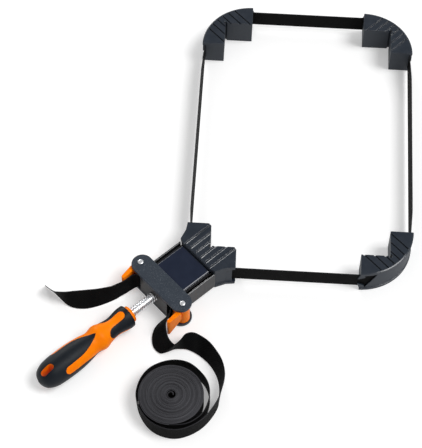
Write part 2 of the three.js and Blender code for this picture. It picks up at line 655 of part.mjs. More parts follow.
function lever(side) {
  const noseAside = FREE_LANE + BAND_THICKNESS / 2 + FIT_GAP + NOSE_RADIUS - PIVOT_SPREAD;
  const tipInside = LEVER_OUTER_EDGE - LEVER_TIP_WIDTH;
  const tipRound = LEVER_TIP_WIDTH / 2;
  const arm = [
    [0, 0],
    [LEVER_ROOT, tipInside / 2],
    ...arc([LEVER_LENGTH - tipRound, LEVER_OUTER_EDGE - tipRound], tipRound, -90, 90, SMALL_ARC_STEPS),
    [LEVER_HEEL, LEVER_OUTER_EDGE],
    [LEVER_HEEL, LEVER_HEEL_INSIDE],
  ];
  const turn = radians(side > 0 ? 0 : LEFT_ARM_TURN);
  const placed = arm.map(([setback, aside]) => [
    PIVOT + setback * Math.cos(turn) + aside * Math.sin(turn),
    side * (PIVOT_SPREAD + aside * Math.cos(turn) - setback * Math.sin(turn)),
  ]);
  const outline = side > 0 ? placed : placed.reverse();
  const heel = PIVOT + LEVER_HEEL;
  const heelHigh = leverLow + LEVER_HEEL_HEIGHT;
  const under = leverLow - CUT_PAST;
  const tipEnd = PIVOT + LEVER_LENGTH;
  const underside = [
    [PIVOT, under], [tipEnd, under], [tipEnd, leverLow], [heel, heelHigh], [PIVOT, heelHigh],
  ];
  const paddleCut = prism(underside, -2 * PIVOT_SPREAD, 2 * PIVOT_SPREAD).rotate([90, 0, 0]);
  const centre = side * PIVOT_SPREAD;
  const nose = post(
    PIVOT + NOSE_SETBACK,
    side * (PIVOT_SPREAD + noseAside),
    NOSE_RADIUS,
    leverLow,
    leverHigh,
    ROUND_SIDES,
  );
  const body = join(
    post(PIVOT, centre, HUB_RADIUS, leverLow, leverHigh, ROUND_SIDES),
    nose,
    cut(prism(outline, leverLow, leverHigh), paddleCut),
  );
  const springBore = springRadius + SPRING_WIRE / 2 + SPRING_PLAY;
  return cut(
    body,
    post(PIVOT, centre, RIVET_RADIUS + FIT_GAP, leverLow - CUT_PAST, leverHigh + CUT_PAST),
    post(PIVOT, centre, springBore, springSeat, leverHigh + CUT_PAST),
  );
}

// Springs round the rivets, in the top of the lever hubs
function leverSpring(side) {
  const rings = [];
  const low = springSeat + FIT_GAP + SPRING_WIRE / 2;
  for (let step = 0; step <= SPRING_CURLS * SPRING_STEPS; step += 1) {
    const turn = (side * step * 2 * Math.PI) / SPRING_STEPS;
    const rise = low + (step * SPRING_PITCH) / SPRING_STEPS;
    const ring = [];
    for (let corner = 0; corner < SPRING_SIDES; corner += 1) {
      const angle = (corner * 2 * Math.PI) / SPRING_SIDES;
      const radius = springRadius + (SPRING_WIRE / 2) * Math.cos(angle);
      ring.push([
        PIVOT + radius * Math.cos(turn),
        side * PIVOT_SPREAD + radius * Math.sin(turn),
        rise + (SPRING_WIRE / 2) * Math.sin(angle),
      ]);
    }
    rings.push(side > 0 ? ring.reverse() : ring);
  }
  return tube(rings);
}

for (const [name, side] of [['left', -1], ['right', 1]]) {
  piece(head, `${name}_rivet`, rivet(side * PIVOT_SPREAD), ZINC_STEEL);
  piece(head, `${name}_lever`, lever(side), ORANGE_PLASTIC);
  piece(head, `${name}_lever_spring`, leverSpring(side), SPRING_STEEL);
}

// Spindle: a pilot that turns in the front jaw, a plain shank, a coarse thread and a tang in the handle
const shoulder = THRUST_DEPTH + FIT_GAP + WASHER_THICKNESS + FIT_GAP;
const clipBack = THRUST_DEPTH - THRUST_WALL - FIT_GAP;
const clipFront = clipBack - CLIP_THICKNESS;
const tangEnd = HANDLE_FRONT + TANG_LENGTH;

function spindleRing(station, radiusAt) {
  const ring = [];
  for (let side = 0; side < THREAD_SIDES; side += 1) {
    const angle = (side / THREAD_SIDES) * 2 * Math.PI;
    const radius = radiusAt(side / THREAD_SIDES);
    ring.push([station, radius * Math.cos(angle), AXIS_HEIGHT + radius * Math.sin(angle)]);
  }
  return ring;
}

function spindle() {
  const grooveRadius = PILOT_RADIUS - CLIP_GROOVE_DEPTH;
  const tip = clipFront - FIT_GAP - PILOT_TIP;
  const threadRoot = THREAD_RADIUS - THREAD_DEPTH;
  const threadEnd = HANDLE_FRONT - THREAD_RUNOUT;
  const threadStart = threadEnd - THREAD_TURNS * THREAD_PITCH;
  const plain = (station, radius) => spindleRing(station, () => radius);
  const rings = [
    plain(tip, grooveRadius),
    plain(tip + CLIP_GROOVE_DEPTH, PILOT_RADIUS),
    plain(clipFront - FIT_GAP, PILOT_RADIUS),
    plain(clipFront - FIT_GAP, grooveRadius),
    plain(clipBack + FIT_GAP, grooveRadius),
    plain(clipBack + FIT_GAP, PILOT_RADIUS),
    plain(shoulder, PILOT_RADIUS),
    plain(shoulder, THREAD_RADIUS),
    plain(threadStart - THREAD_DEPTH, THREAD_RADIUS),
  ];
  for (let row = 0; row <= THREAD_TURNS * THREAD_ROWS; row += 1) {
    rings.push(spindleRing(threadStart + (row * THREAD_PITCH) / THREAD_ROWS, (turn) => {
      const fromCrest = Math.abs(((row / THREAD_ROWS + turn) % 1) - 0.5) * THREAD_PITCH;
      const flank = (THREAD_CREST / 2 + THREAD_FLANK - fromCrest) / THREAD_FLANK;
      return threadRoot + THREAD_DEPTH * THREE.MathUtils.clamp(flank, 0, 1);
    }));
  }
  rings.push(plain(threadEnd + THREAD_DEPTH, THREAD_RADIUS), plain(tangEnd, THREAD_RADIUS));
  return tube(rings);
}

function clip() {
  const inside = PILOT_RADIUS - CLIP_GROOVE_DEPTH + FIT_GAP;
  const from = clipFront - CUT_PAST;
  const to = clipBack + CUT_PAST;
  const mouth = block(from, to, -CLIP_MOUTH / 2, CLIP_MOUTH / 2, 0, AXIS_HEIGHT);
  return cut(rod(clipFront, clipBack, CLIP_RADIUS), rod(from, to, inside, SMALL_SIDES), mouth);
}

function washer() {
  const from = THRUST_DEPTH + FIT_GAP;
  const to = from + WASHER_THICKNESS;
  const inside = rod(from - CUT_PAST, to + CUT_PAST, PILOT_RADIUS + FIT_GAP, SMALL_SIDES);
  return cut(rod(from, to, THRUST_BORE_RADIUS - FIT_GAP), inside);
}

function nut() {
  const from = REAR_WALL_FACE;
  const to = from + NUT_LENGTH;
  const bore = rod(from - CUT_PAST, to + CUT_PAST, THREAD_RADIUS + FIT_GAP, SMALL_SIDES);
  return cut(hexagon(NUT_FLATS, from, to), bore);
}

piece(head, 'spindle', spindle(), ZINC_STEEL);
piece(head, 'spindle_clip', clip(), SPRING_STEEL);
piece(head, 'thrust_washer', washer(), ZINC_STEEL);
piece(head, 'spindle_nut', nut(), ZINC_STEEL);

// Handle: an orange core whose stripes reach the surface between the tongues of two black soft grips
function handleProfile(inset) {
  const front = COLLAR_LENGTH + FIT_GAP + inset;
  const end = HANDLE_PROFILE.at(-1)[0] - inset;
  const profile = [[HANDLE_FRONT + front, 0]];
  for (const [station, radius] of HANDLE_PROFILE) {
    profile.push([HANDLE_FRONT + Math.min(Math.max(station, front), end), Math.max(radius - inset, 0)]);
  }
  return profile;
}

// Region of one grip as wedges about the axis, from the stations and half angles of its tongues
function tongueRegion(rows, middles, reach) {
  const wedges = middles.map((middle) => tube(rows.map(([station, halfAngle]) => {
    const ring = [[station, 0, AXIS_HEIGHT]];
    for (let column = 0; column <= TONGUE_COLUMNS; column += 1) {
      const angle = radians(middle + halfAngle * ((2 * column) / TONGUE_COLUMNS - 1));
      ring.push([station, -reach * Math.sin(angle), AXIS_HEIGHT + reach * Math.cos(angle)]);
    }
    return ring;
  })));
  return join(...wedges);
}

function tongueMiddles(first) {
  return Array.from({ length: GRIP_TONGUES }, (unused, at) => first + (at * 360) / GRIP_TONGUES);
}

const handleReach = 2 * Math.max(...HANDLE_PROFILE.map(([, radius]) => radius));

// Angle that a clearance takes up on the slimmest part of the handle
function growAngle(grow) {
  return THREE.MathUtils.radToDeg(grow / COLLAR_RADIUS);
}

function frontRegion(grow) {
  const rows = [];
  const root = FRONT_RING_END - CUT_PAST;
  for (let row = 0; row <= TONGUE_ROWS; row += 1) {
    const share = row / TONGUE_ROWS;
    const station = root + (FRONT_TONGUE_END - root) * share + (row === TONGUE_ROWS ? grow : 0);
    const angle = FRONT_TONGUE_ANGLE * Math.sqrt(1 - share ** 3 * FRONT_TONGUE_TAPER);
    rows.push([HANDLE_FRONT + station, angle + growAngle(grow)]);
  }
  const ringEnd = HANDLE_FRONT + FRONT_RING_END + grow;
  return join(
    rod(HANDLE_FRONT + COLLAR_LENGTH - CUT_PAST, ringEnd, handleReach),
    tongueRegion(rows, tongueMiddles(180 / GRIP_TONGUES), handleReach),
  );
}

function rearRegion(grow) {
  const rows = [];
  const root = REAR_CAP_START + CUT_PAST;
  for (let row = 0; row <= TONGUE_ROWS; row += 1) {
    const share = row / TONGUE_ROWS;
    const station = REAR_TIP + (root - REAR_TIP) * share - (row === 0 ? grow : 0);
    const swell = Math.min(1, REAR_TIP_BLUNT + share * REAR_TONGUE_SWELL);
    const angle = REAR_TONGUE_ANGLE * Math.sin((swell * Math.PI) / 2);
    rows.push([HANDLE_FRONT + station, angle + growAngle(grow)]);
  }
  const capStart = HANDLE_FRONT + REAR_CAP_START - grow;
  const capEnd = HANDLE_FRONT + HANDLE_PROFILE.at(-1)[0] + handleReach;
  return join(
    rod(capStart, capEnd, handleReach),
    tongueRegion(rows, tongueMiddles(0), handleReach),
  );
}

const hangMiddle = HANDLE_FRONT + HANG_HOLE_STATION;
const hangReach = (HANG_HOLE_LENGTH - HANG_HOLE_WIDTH) / 2;
const hangRound = HANG_HOLE_WIDTH / 2;
const hangHole = prism(
  [
    ...arc([hangMiddle + hangReach, 0], hangRound, -90, 90, SMALL_ARC_STEPS),
    ...arc([hangMiddle - hangReach, 0], hangRound, 90, 270, SMALL_ARC_STEPS),
  ],
  AXIS_HEIGHT - handleReach,
  AXIS_HEIGHT + handleReach,
);
const handleOuter = turned(handleProfile(0), HANDLE_SIDES);
const gripInner = turned(handleProfile(GRIP_THICKNESS), HANDLE_SIDES);
const pocketInner = turned(handleProfile(GRIP_THICKNESS + FIT_GAP), HANDLE_SIDES);

function grip(region) {
  return cut(handleOuter.intersect(region), gripInner, hangHole);
}

function handleCore() {
  const collarEnd = HANDLE_FRONT + COLLAR_LENGTH + GRIP_THICKNESS + CUT_PAST;
  const frontPocket = cut(frontRegion(FIT_GAP), pocketInner);
  const rearPocket = cut(rearRegion(FIT_GAP), pocketInner);
  const barrel = cut(handleOuter, frontPocket, rearPocket);
  return cut(
    join(barrel, rod(HANDLE_FRONT, collarEnd, COLLAR_RADIUS)),
    hangHole,
    rod(HANDLE_FRONT - CUT_PAST, tangEnd + FIT_GAP, THREAD_RADIUS + FIT_GAP, SMALL_SIDES),
  );
}

const collarClear = rod(HANDLE_FRONT, HANDLE_FRONT + 2 * COLLAR_LENGTH, COLLAR_RADIUS + FIT_GAP);
piece(head, 'handle_core', handleCore(), ORANGE_PLASTIC);
piece(head, 'handle_front_grip', cut(grip(frontRegion(0)), collarClear), GRIP_RUBBER);
piece(head, 'handle_rear_grip', grip(rearRegion(0)), GRIP_RUBBER);

// Free band: a ribbon through rulings, each a point on its lower edge and the lean of its upper edge
function ribbon(rulings) {
  const feet = rulings.map(([x, y, z]) => new THREE.Vector3(x, y, z));
  return tube(rulings.map(([, , , leanX, leanY], at) => {
    const rise = Math.sqrt(BAND_WIDTH ** 2 - leanX ** 2 - leanY ** 2);
    const across = new THREE.Vector3(leanX, leanY, rise);
    const along = feet[Math.min(at + 1, feet.length - 1)].clone().sub(feet[Math.max(at - 1, 0)]);
    const face = along.cross(across).setLength(BAND_THICKNESS / 2);
    const top = feet[at].clone().add(across);
    return [
      feet[at].clone().add(face).toArray(),
      feet[at].clone().sub(face).toArray(),
      top.clone().sub(face).toArray(),
      top.clone().add(face).toArray(),
    ];
  }));
}

function routeRulings(route) {
  const feet = new THREE.CatmullRomCurve3(
    route.map(([x, y, z]) => new THREE.Vector3(x, y, z)),
    false,
    'catmullrom',
  );
  const leans = new THREE.CatmullRomCurve3(
    route.map(([, , , x, y]) => new THREE.Vector3(x, y, 0)),
    false,
    'catmullrom',
  );
  const steps = (route.length - 1) * ROUTE_STEPS;
  return Array.from({ length: steps + 1 }, (unused, step) => {
    const foot = feet.getPoint(step / steps);
    const lean = leans.getPoint(step / steps);
    return [foot.x, foot.y, foot.z, lean.x, lean.y];
  });
}

function laneRuling(setback, side) {
  return [setback, side * FREE_LANE, BAND_LOW, 0, 0];
}

const laneStart = BODY_FRONT + 2 * BODY_PART_LINE;
const laneEnd = PIVOT + HUB_RADIUS / 2;
const rollPitch = (ROLL_RADIUS - ROLL_HOLE) / ROLL_TURNS;

function rollRuling(turn) {
  const radius = ROLL_RADIUS - rollPitch * turn;
  const angle = radians(ROLL_START_ANGLE) - turn * 2 * Math.PI;
  return [
    ROLL_SETBACK + radius * Math.cos(angle),
    ROLL_ASIDE + radius * Math.sin(angle),
    FLOOR_LIFT,
    0,
    0,
  ];
}

const leadRulings = [
  laneRuling(laneStart, 1),
  ...routeRulings([laneRuling(laneEnd, 1), ...LEAD_ROUTE, rollRuling(0)]),
];
const tailRulings = [
  laneRuling(laneStart, -1),
  ...routeRulings([laneRuling(laneEnd, -1), ...TAIL_ROUTE]),
];
const rollShift = FIT_GAP / (2 * Math.PI * ROLL_RADIUS);
const rollRulings = Array.from(
  { length: ROLL_TURNS * ROLL_STEPS + 1 },
  (unused, step) => rollRuling(rollShift + (step / ROLL_STEPS) * (1 - rollShift / ROLL_TURNS)),
);

piece(head, 'band_tail', ribbon(tailRulings), BLACK_NYLON);
piece(head, 'band_lead', ribbon(leadRulings), BLACK_NYLON);
piece(head, 'band_coil', ribbon(rollRulings), BLACK_NYLON);

// Least gap between the roll's turns, measured on points of its middle line
function leastRollGap() {
  let least = Infinity;
  for (let a = 0; a < rollRulings.length; a += 1) {
    for (let b = a + ROLL_STEPS / 2; b < rollRulings.length; b += 1) {
      const [first, second] = [rollRulings[a], rollRulings[b]];
      const distance = Math.hypot(first[0] - second[0], first[1] - second[1]);
      least = Math.min(least, distance - BAND_THICKNESS);
    }
  }
  return least;
}

function rulingLength(rulings) {
  let length = 0;
  for (let at = 1; at < rulings.length; at += 1) {
    length += Math.hypot(...rulings[at].slice(0, 3).map((value, axis) => value - rulings[at - 1][axis]));
  }
  return length;
}

console.log(`least gap between the roll's turns: ${leastRollGap().toFixed(2)} mm`);
for (const [name, rulings] of [['tail', tailRulings], ['lead', leadRulings], ['roll', rollRulings]]) {
  console.log(`band in the ${name}: ${rulingLength(rulings).toFixed(0)} mm`);
}

export default clamp;
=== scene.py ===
import math

import bpy
from mathutils import Matrix, Vector


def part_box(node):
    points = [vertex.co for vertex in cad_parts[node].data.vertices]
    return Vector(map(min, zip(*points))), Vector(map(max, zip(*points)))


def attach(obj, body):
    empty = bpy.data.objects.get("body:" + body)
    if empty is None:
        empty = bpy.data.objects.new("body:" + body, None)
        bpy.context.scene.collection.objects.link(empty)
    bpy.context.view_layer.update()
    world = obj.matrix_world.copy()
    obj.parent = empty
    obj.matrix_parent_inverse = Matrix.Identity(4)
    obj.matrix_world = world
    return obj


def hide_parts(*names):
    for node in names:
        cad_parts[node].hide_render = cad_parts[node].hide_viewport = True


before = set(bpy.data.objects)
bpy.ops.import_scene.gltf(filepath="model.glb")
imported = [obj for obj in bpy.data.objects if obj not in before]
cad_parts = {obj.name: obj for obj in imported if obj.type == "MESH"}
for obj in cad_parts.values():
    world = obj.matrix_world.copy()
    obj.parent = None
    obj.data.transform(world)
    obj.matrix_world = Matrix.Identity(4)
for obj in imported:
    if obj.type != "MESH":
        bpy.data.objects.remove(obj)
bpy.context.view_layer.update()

# Camera: the clamp is looked at through a long lens from in front and above, so that its far jaws look
# hardly smaller than its near ones.
CAMERA_PLACE = (0.05873, -1.10861, 1.84287)
CAMERA_ACROSS = Vector((0.99824, 0.05863, 0.00917))
CAMERA_UP = Vector((-0.05436, 0.84139, 0.53770))
LENS_MM = 135.06
SENSOR_MM = 36
camera_turn = Matrix((CAMERA_ACROSS, CAMERA_UP, CAMERA_ACROSS.cross(CAMERA_UP))).transposed()
bpy.ops.object.camera_add(location=CAMERA_PLACE, rotation=camera_turn.to_euler())
camera = bpy.context.object
camera.data.lens = LENS_MM
camera.data.sensor_width = SENSOR_MM
bpy.context.scene.camera = camera
bpy.context.scene.view_settings.view_transform = "Standard"

# Studio: a white table in an even white room that is dimmer overhead, as in a light tent. A broad lamp above
# on the right lights the clamp and shows its right edges. A low strip behind on the left picks out its
# ridges.
FLOOR_SIZE = 14
FLOOR_DROP = 0.0004
FLOOR_COLOUR = (0.80, 0.80, 0.80, 1)
FLOOR_GLOW = 0.30
ROOM_LIGHT = 0.44
ROOM_CEILING = 0.42
ROOM_FADE_FROM = 0.25
ROOM_FADE_TO = 0.75
KEY_FROM = Vector((0.53, -0.05, 0.85))
KEY_STRENGTH = 1.95
KEY_SPREAD = math.radians(30)
STRIP_FROM = Vector((-0.353, 0.843, 0.404))
STRIP_STRENGTH = 0.7
STRIP_SPREAD = math.radians(16)


def deselect():
    bpy.ops.object.select_all(action="DESELECT")


def add_node(tree, kind, **settings):
    node = tree.nodes.new(kind)
    for name, value in settings.items():
        setattr(node, name, value)
    return node


def put(tree, socket, value):
    """Link a socket to another one, or set its value."""
    if isinstance(value, bpy.types.NodeSocket):
        tree.links.new(value, socket)
    else:
        socket.default_value = value


def math_node(tree, operation, *values):
    node = add_node(tree, "ShaderNodeMath", operation=operation)
    for socket, value in zip(node.inputs, values):
        put(tree, socket, value)
    return node.outputs[0]


def map_range(tree, value, low, high, to_low=0.0, to_high=1.0):
    node = add_node(tree, "ShaderNodeMapRange")
    settings = {"Value": value, "From Min": low, "From Max": high, "To Min": to_low, "To Max": to_high}
    for name, setting in settings.items():
        put(tree, node.inputs[name], setting)
    return node.outputs[0]


def seen_rays(tree):
    """One for rays that show the background: straight, in a gloss or through glass."""
    path = add_node(tree, "ShaderNodeLightPath")
    gloss = math_node(tree, "MAXIMUM", path.outputs["Is Camera Ray"], path.outputs["Is Glossy Ray"])
    return path, math_node(tree, "MAXIMUM", gloss, path.outputs["Is Transmission Ray"])


deselect()
bpy.ops.mesh.primitive_plane_add(size=FLOOR_SIZE, location=(0, 0, -FLOOR_DROP))
floor = bpy.context.object
floor.name = "table_top"
table_white = bpy.data.materials.new("table_white")
table_white.use_nodes = True
tree = table_white.node_tree
tree.nodes.clear()
paint = add_node(tree, "ShaderNodeBsdfDiffuse")
paint.inputs["Color"].default_value = FLOOR_COLOUR
glow = add_node(tree, "ShaderNodeEmission")
tree.links.new(math_node(tree, "MULTIPLY", seen_rays(tree)[1], FLOOR_GLOW), glow.inputs["Strength"])
both = add_node(tree, "ShaderNodeAddShader")
tree.links.new(paint.outputs[0], both.inputs[0])
tree.links.new(glow.outputs[0], both.inputs[1])
tree.links.new(both.outputs[0], add_node(tree, "ShaderNodeOutputMaterial").inputs["Surface"])
floor.data.materials.append(table_white)

room = bpy.data.worlds.new("room")
room.use_nodes = True
bpy.context.scene.world = room
tree = room.node_tree
backdrop = tree.nodes["Background"]
backdrop.inputs["Color"].default_value = (1, 1, 1, 1)
height = add_node(tree, "ShaderNodeSeparateXYZ")
tree.links.new(add_node(tree, "ShaderNodeTexCoord").outputs["Generated"], height.inputs[0])
fade = map_range(tree, height.outputs["Z"], ROOM_FADE_FROM, ROOM_FADE_TO, 1.0, ROOM_CEILING)
path, seen = seen_rays(tree)
lit = math_node(tree, "MULTIPLY", fade, seen)
unseen = math_node(tree, "MULTIPLY", math_node(tree, "SUBTRACT", 1.0, seen), ROOM_LIGHT)
level = math_node(tree, "MAXIMUM", math_node(tree, "ADD", lit, unseen), path.outputs["Is Camera Ray"])
tree.links.new(level, backdrop.inputs["Strength"])

for name, source, strength, spread in (
    ("key_lamp", KEY_FROM, KEY_STRENGTH, KEY_SPREAD),
    ("strip_lamp", STRIP_FROM, STRIP_STRENGTH, STRIP_SPREAD),
):
    bpy.ops.object.light_add(type="SUN", rotation=source.to_track_quat("Z", "Y").to_euler())
    lamp = bpy.context.object
    lamp.name = name
    lamp.data.energy = strength
    lamp.data.angle = spread

# Front jaw: the fixed V that takes the frame's near corner, injection-moulded in blue-black glass-filled
# nylon with a ridged top. The band turns in its two side slots, and its hollow stem slides in the guide body.
MM = 0.001
ROOT_TWO = math.sqrt(2)
ORIGIN_DEPTH = 12
CORNER = ORIGIN_DEPTH / ROOT_TWO
DIAGONAL = math.radians(225)
HEAD_PLACE = (CORNER * MM, CORNER * MM, 0)
BAND_THICKNESS = 1.0
BAND_OFFSET = 26.2
LOOP_LANE = 27.75
FIT_GAP = 0.3
PAST = 2
MERGE_GAP = 1e-4
EDGE_ANGLE = math.radians(35)
SMOOTH_ANGLE = 40
ROUND_SIDES = 48
ROUND_STEPS = 8
BEND_STEPS = 14
FLANGE = 4.5
JAW_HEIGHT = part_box("corner_jaw_back_left")[1][2] / MM
SLOT_HIGH = JAW_HEIGHT - FLANGE
AXIS_HEIGHT = JAW_HEIGHT / 2
ARM_LENGTH = 33.5
ARM_ROUND = 4.5
ARM_GUARD = 4.3
ARM_WALL_SETBACK = 4
WAIST_REACH = 22
WAIST_GUARD = 5.8
JAW_DEPTH = 23.2
SHOULDER_STEP = 2.6
SHOULDER_GUARD = 5.25
JAW_RECESS = 1.5
BEND_RADIUS = 20
SLOT_PLAY = 1.9
CORE_HALF_WIDTH = 25.5
RIDGE_PITCH = 9.5
RIDGE_COUNT = 7
RIDGE_GAP = 1.7
RIDGE_SETBACK = 0.8
RIDGE_HEIGHT = 1.3
RIDGE_SLOPE = 1.7
RIDGE_TILT = 20
SLOPE_PAST = 0.8
RELIEF_RADIUS = 2.5
STEM_END = 79.5
STEM_HALF_WIDTH = 22.2
STEM_LOW = 7.1
STEM_HIGH = 31.4
STEM_WALL = 3
THRUST_BORE = 8
THRUST_DEPTH = 16
THRUST_WALL = 7
PILOT_BORE = 3.7
JAW_EDGE = 0.5
JAW_COLOUR = (0.0090, 0.0150, 0.0250, 1)
JAW_BLOOM = (0.0150, 0.0215, 0.0325, 1)
# Paler edge colour of the jaws: partly rubbed wear, partly a painted highlight along the edges.
JAW_WORN_AND_HIGHLIGHT = (0.110, 0.118, 0.135, 1)
BLOOM_FROM = 0.35
BLOOM_FULL = 0.68
FINE_SHARE = 0.5
UNEVEN_MEAN = 0.75
UPRIGHT = 0.35
LEVEL = 0.75
EDGE_FROM = 0.99
EDGE_FULL = 0.86
# Patches in which the paler edge colour shows, which is partly wear and partly painted highlight.
WEAR_AND_HIGHLIGHT_PATCH = 0.006
WEAR_AND_HIGHLIGHT_LEAST = 0.35


def arc(centre, radius, start, end, steps):
    points = []
    for step in range(steps + 1):
        angle = math.radians(start + (end - start) * step / steps)
        points.append((centre[0] + radius * math.cos(angle), centre[1] + radius * math.sin(angle)))
    return points


def rectangle(x0, x1, y0, y1):
    return [(x0, y0), (x1, y0), (x1, y1), (x0, y1)]


def to_head(point):
    """From the frame's own directions to setback and aside of the spindle."""
    x, y = point
    return (-(x + y) / ROOT_TWO, (x - y) / ROOT_TWO)


def mirrored(points):
    return [(setback, -aside) for setback, aside in reversed(points)]


def offset_path(path, distance):
    """A plan path moved to its left."""
    moved = []
    for at, (x, y) in enumerate(path):
        before = path[max(at - 1, 0)]
        after = path[min(at + 1, len(path) - 1)]
        ahead = Vector((after[0] - before[0], after[1] - before[1])).normalized()
        moved.append((x - ahead.y * distance, y + ahead.x * distance))
    return moved


def tidy_shell():
    """Merge the doubles of the mesh in edit mode and point its faces outwards."""
    bpy.ops.mesh.select_all(action="SELECT")
    bpy.ops.mesh.remove_doubles(threshold=MERGE_GAP)
    bpy.ops.mesh.normals_make_consistent(inside=False)


def slab(outline, low, high):
    """A flat face with this plan outline, extruded upwards."""
    deselect()
    bpy.ops.mesh.primitive_circle_add(vertices=len(outline), fill_type="NGON")
    piece = bpy.context.object
    for corner, (x, y) in zip(piece.data.vertices, outline):
        corner.co = (x, y, low)
    bpy.ops.object.mode_set(mode="EDIT")
    bpy.ops.mesh.select_all(action="SELECT")
    bpy.ops.mesh.extrude_region_move(TRANSFORM_OT_translate={"value": (0, 0, high - low)})
    tidy_shell()
    bpy.ops.object.mode_set(mode="OBJECT")
    return piece


def both_sides(outline, low, high):
    return slab(outline, low, high), slab(mirrored(outline), low, high)


def bar(section, start, end):
    """Prism along the spindle with this section, as aside and height."""
    piece = slab(section, start, end)
    for corner in piece.data.vertices:
        aside, height, station = corner.co
        corner.co = (station, aside, height)
    return piece


def edge_slope(edge, side, width, tilt, top, start, end):
    """Tool that slopes a top down to an edge along the spindle; side is the way that the slope faces."""
    fall = math.tan(math.radians(tilt))
    inner = edge - side * width
    outer = edge + side * SLOPE_PAST
    foot = top - (width + SLOPE_PAST) * fall
    return bar([(inner, top), (outer, foot), (outer, top + PAST), (inner, top + PAST)], start, end)


def rod(start, end, radius, sides=ROUND_SIDES):
    """Round bar along the spindle's axis."""
    deselect()
    bpy.ops.mesh.primitive_cylinder_add(
        vertices=sides,
        radius=radius,
        depth=end - start,
        location=((start + end) / 2, 0, AXIS_HEIGHT),
        rotation=(0, math.pi / 2, 0),
    )
    bpy.ops.object.transform_apply()
    return bpy.context.object


def post(x, y, radius, low, high, sides=ROUND_SIDES):
    return slab(arc((x, y), radius, 0, 360 - 360 / sides, sides - 1), low, high)


def apply_modifier(piece, modifier):
    deselect()
    bpy.context.view_layer.objects.active = piece
    bpy.ops.object.modifier_apply(modifier=modifier.name)


def combine(piece, operation, tools):
    for tool in tools:
        boolean = piece.modifiers.new("shape", "BOOLEAN")
        boolean.operation = operation
        boolean.object = tool
        apply_modifier(piece, boolean)
        bpy.data.objects.remove(tool)


def weld(piece, *tools):
    combine(piece, "UNION", tools)


def cut(piece, *tools):
    combine(piece, "DIFFERENCE", tools)


def round_edges(piece, width, segments=2):
    """Moulded edges: every sharp edge gets a small round."""
    bevel = piece.modifiers.new("edges", "BEVEL")
    bevel.width = width
    bevel.segments = segments
    bevel.limit_method = "ANGLE"
    bevel.angle_limit = EDGE_ANGLE
    bevel.use_clamp_overlap = False
    apply_modifier(piece, bevel)


def settle(piece, name, finish, body, node, place=HEAD_PLACE, turn=DIAGONAL, smooth=SMOOTH_ANGLE):
    """Millimetres at the bench become metres at the piece's place, and it gets its finish and body; the part
    it replaces is hidden.
    """
    piece.name = name
    piece.data.name = name
    piece.scale = (MM, MM, MM)
    piece.location = place
    piece.rotation_euler = (0, 0, turn)
    deselect()
    piece.select_set(True)
    bpy.context.view_layer.objects.active = piece
    bpy.ops.object.transform_apply(location=True, rotation=True, scale=True)
    bpy.ops.object.shade_smooth_by_angle(angle=math.radians(smooth))
    weighted = piece.modifiers.new("flat_faces", "WEIGHTED_NORMAL")
    weighted.keep_sharp = True
    apply_modifier(piece, weighted)
    piece.data.materials.clear()
    piece.data.materials.append(finish)
    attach(piece, body)
    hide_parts(node)


COLOUR = "NodeSocketColor"
NUMBER = "NodeSocketFloat"


def new_group(name, inputs, outputs):
    """Node group with these inputs and their values, and the sockets inside it that read and write them."""
    group = bpy.data.node_groups.new(name, "ShaderNodeTree")
    for socket, value in inputs.items():
        kind = COLOUR if isinstance(value, tuple) else NUMBER
        group.interface.new_socket(socket, in_out="INPUT", socket_type=kind).default_value = value
    for socket in outputs:
        kind = COLOUR if socket == "Colour" else NUMBER
        group.interface.new_socket(socket, in_out="OUTPUT", socket_type=kind)
    return group, add_node(group, "NodeGroupInput").outputs, add_node(group, "NodeGroupOutput").inputs


def mix_colour(tree, share, first, second):
    node = add_node(tree, "ShaderNodeMix", data_type="RGBA")
    put(tree, node.inputs["Factor"], share)
    colours = [socket for socket in node.inputs if socket.type == "RGBA"]
    put(tree, colours[0], first)
    put(tree, colours[1], second)
    return next(socket for socket in node.outputs if socket.type == "RGBA")


def noise(tree, coordinates, size, detail=2):
    """Soft noise whose spots are about this size in metres."""
    node = add_node(tree, "ShaderNodeTexNoise")
    node.inputs["Detail"].default_value = detail
    tree.links.new(coordinates, node.inputs["Vector"])
    put(tree, node.inputs["Scale"], math_node(tree, "DIVIDE", 1.0, size))
    return node.outputs[0]


def grain_group():
    """Moulded or cast surface: cloudy patches of bloom, fine grain, and upright faces rougher than tops."""
    group, given, made = new_group(
        "moulded_grain",
        {
            "Colour": JAW_COLOUR, "Bloom": JAW_BLOOM, "Patch": 0.012, "Grain": 0.0006,
            "Roughness": 0.4, "Swing": 0.15, "Walls": 0.0,
        },
        ("Colour", "Roughness", "Height"),
    )
    spot = add_node(group, "ShaderNodeTexCoord").outputs["Object"]
    patches = noise(group, spot, given["Patch"], detail=4)
    fine = noise(group, spot, given["Grain"])
    share = map_range(group, patches, BLOOM_FROM, BLOOM_FULL)
    colour = mix_colour(group, share, given["Colour"], given["Bloom"])
    uneven = math_node(group, "MULTIPLY_ADD", fine, FINE_SHARE, patches)
    off_mean = math_node(group, "SUBTRACT", uneven, UNEVEN_MEAN)
    swing = math_node(group, "MULTIPLY", off_mean, given["Swing"])
    facing = add_node(group, "ShaderNodeSeparateXYZ")
    group.links.new(add_node(group, "ShaderNodeNewGeometry").outputs["Normal"], facing.inputs[0])
    level = math_node(group, "ABSOLUTE", facing.outputs["Z"])
    extra = map_range(group, level, UPRIGHT, LEVEL, given["Walls"], 0.0)
    rough = math_node(group, "ADD", swing, math_node(group, "ADD", extra, given["Roughness"]))
    group.links.new(colour, made["Colour"])
    group.links.new(rough, made["Roughness"])
    group.links.new(fine, made["Height"])
    return group


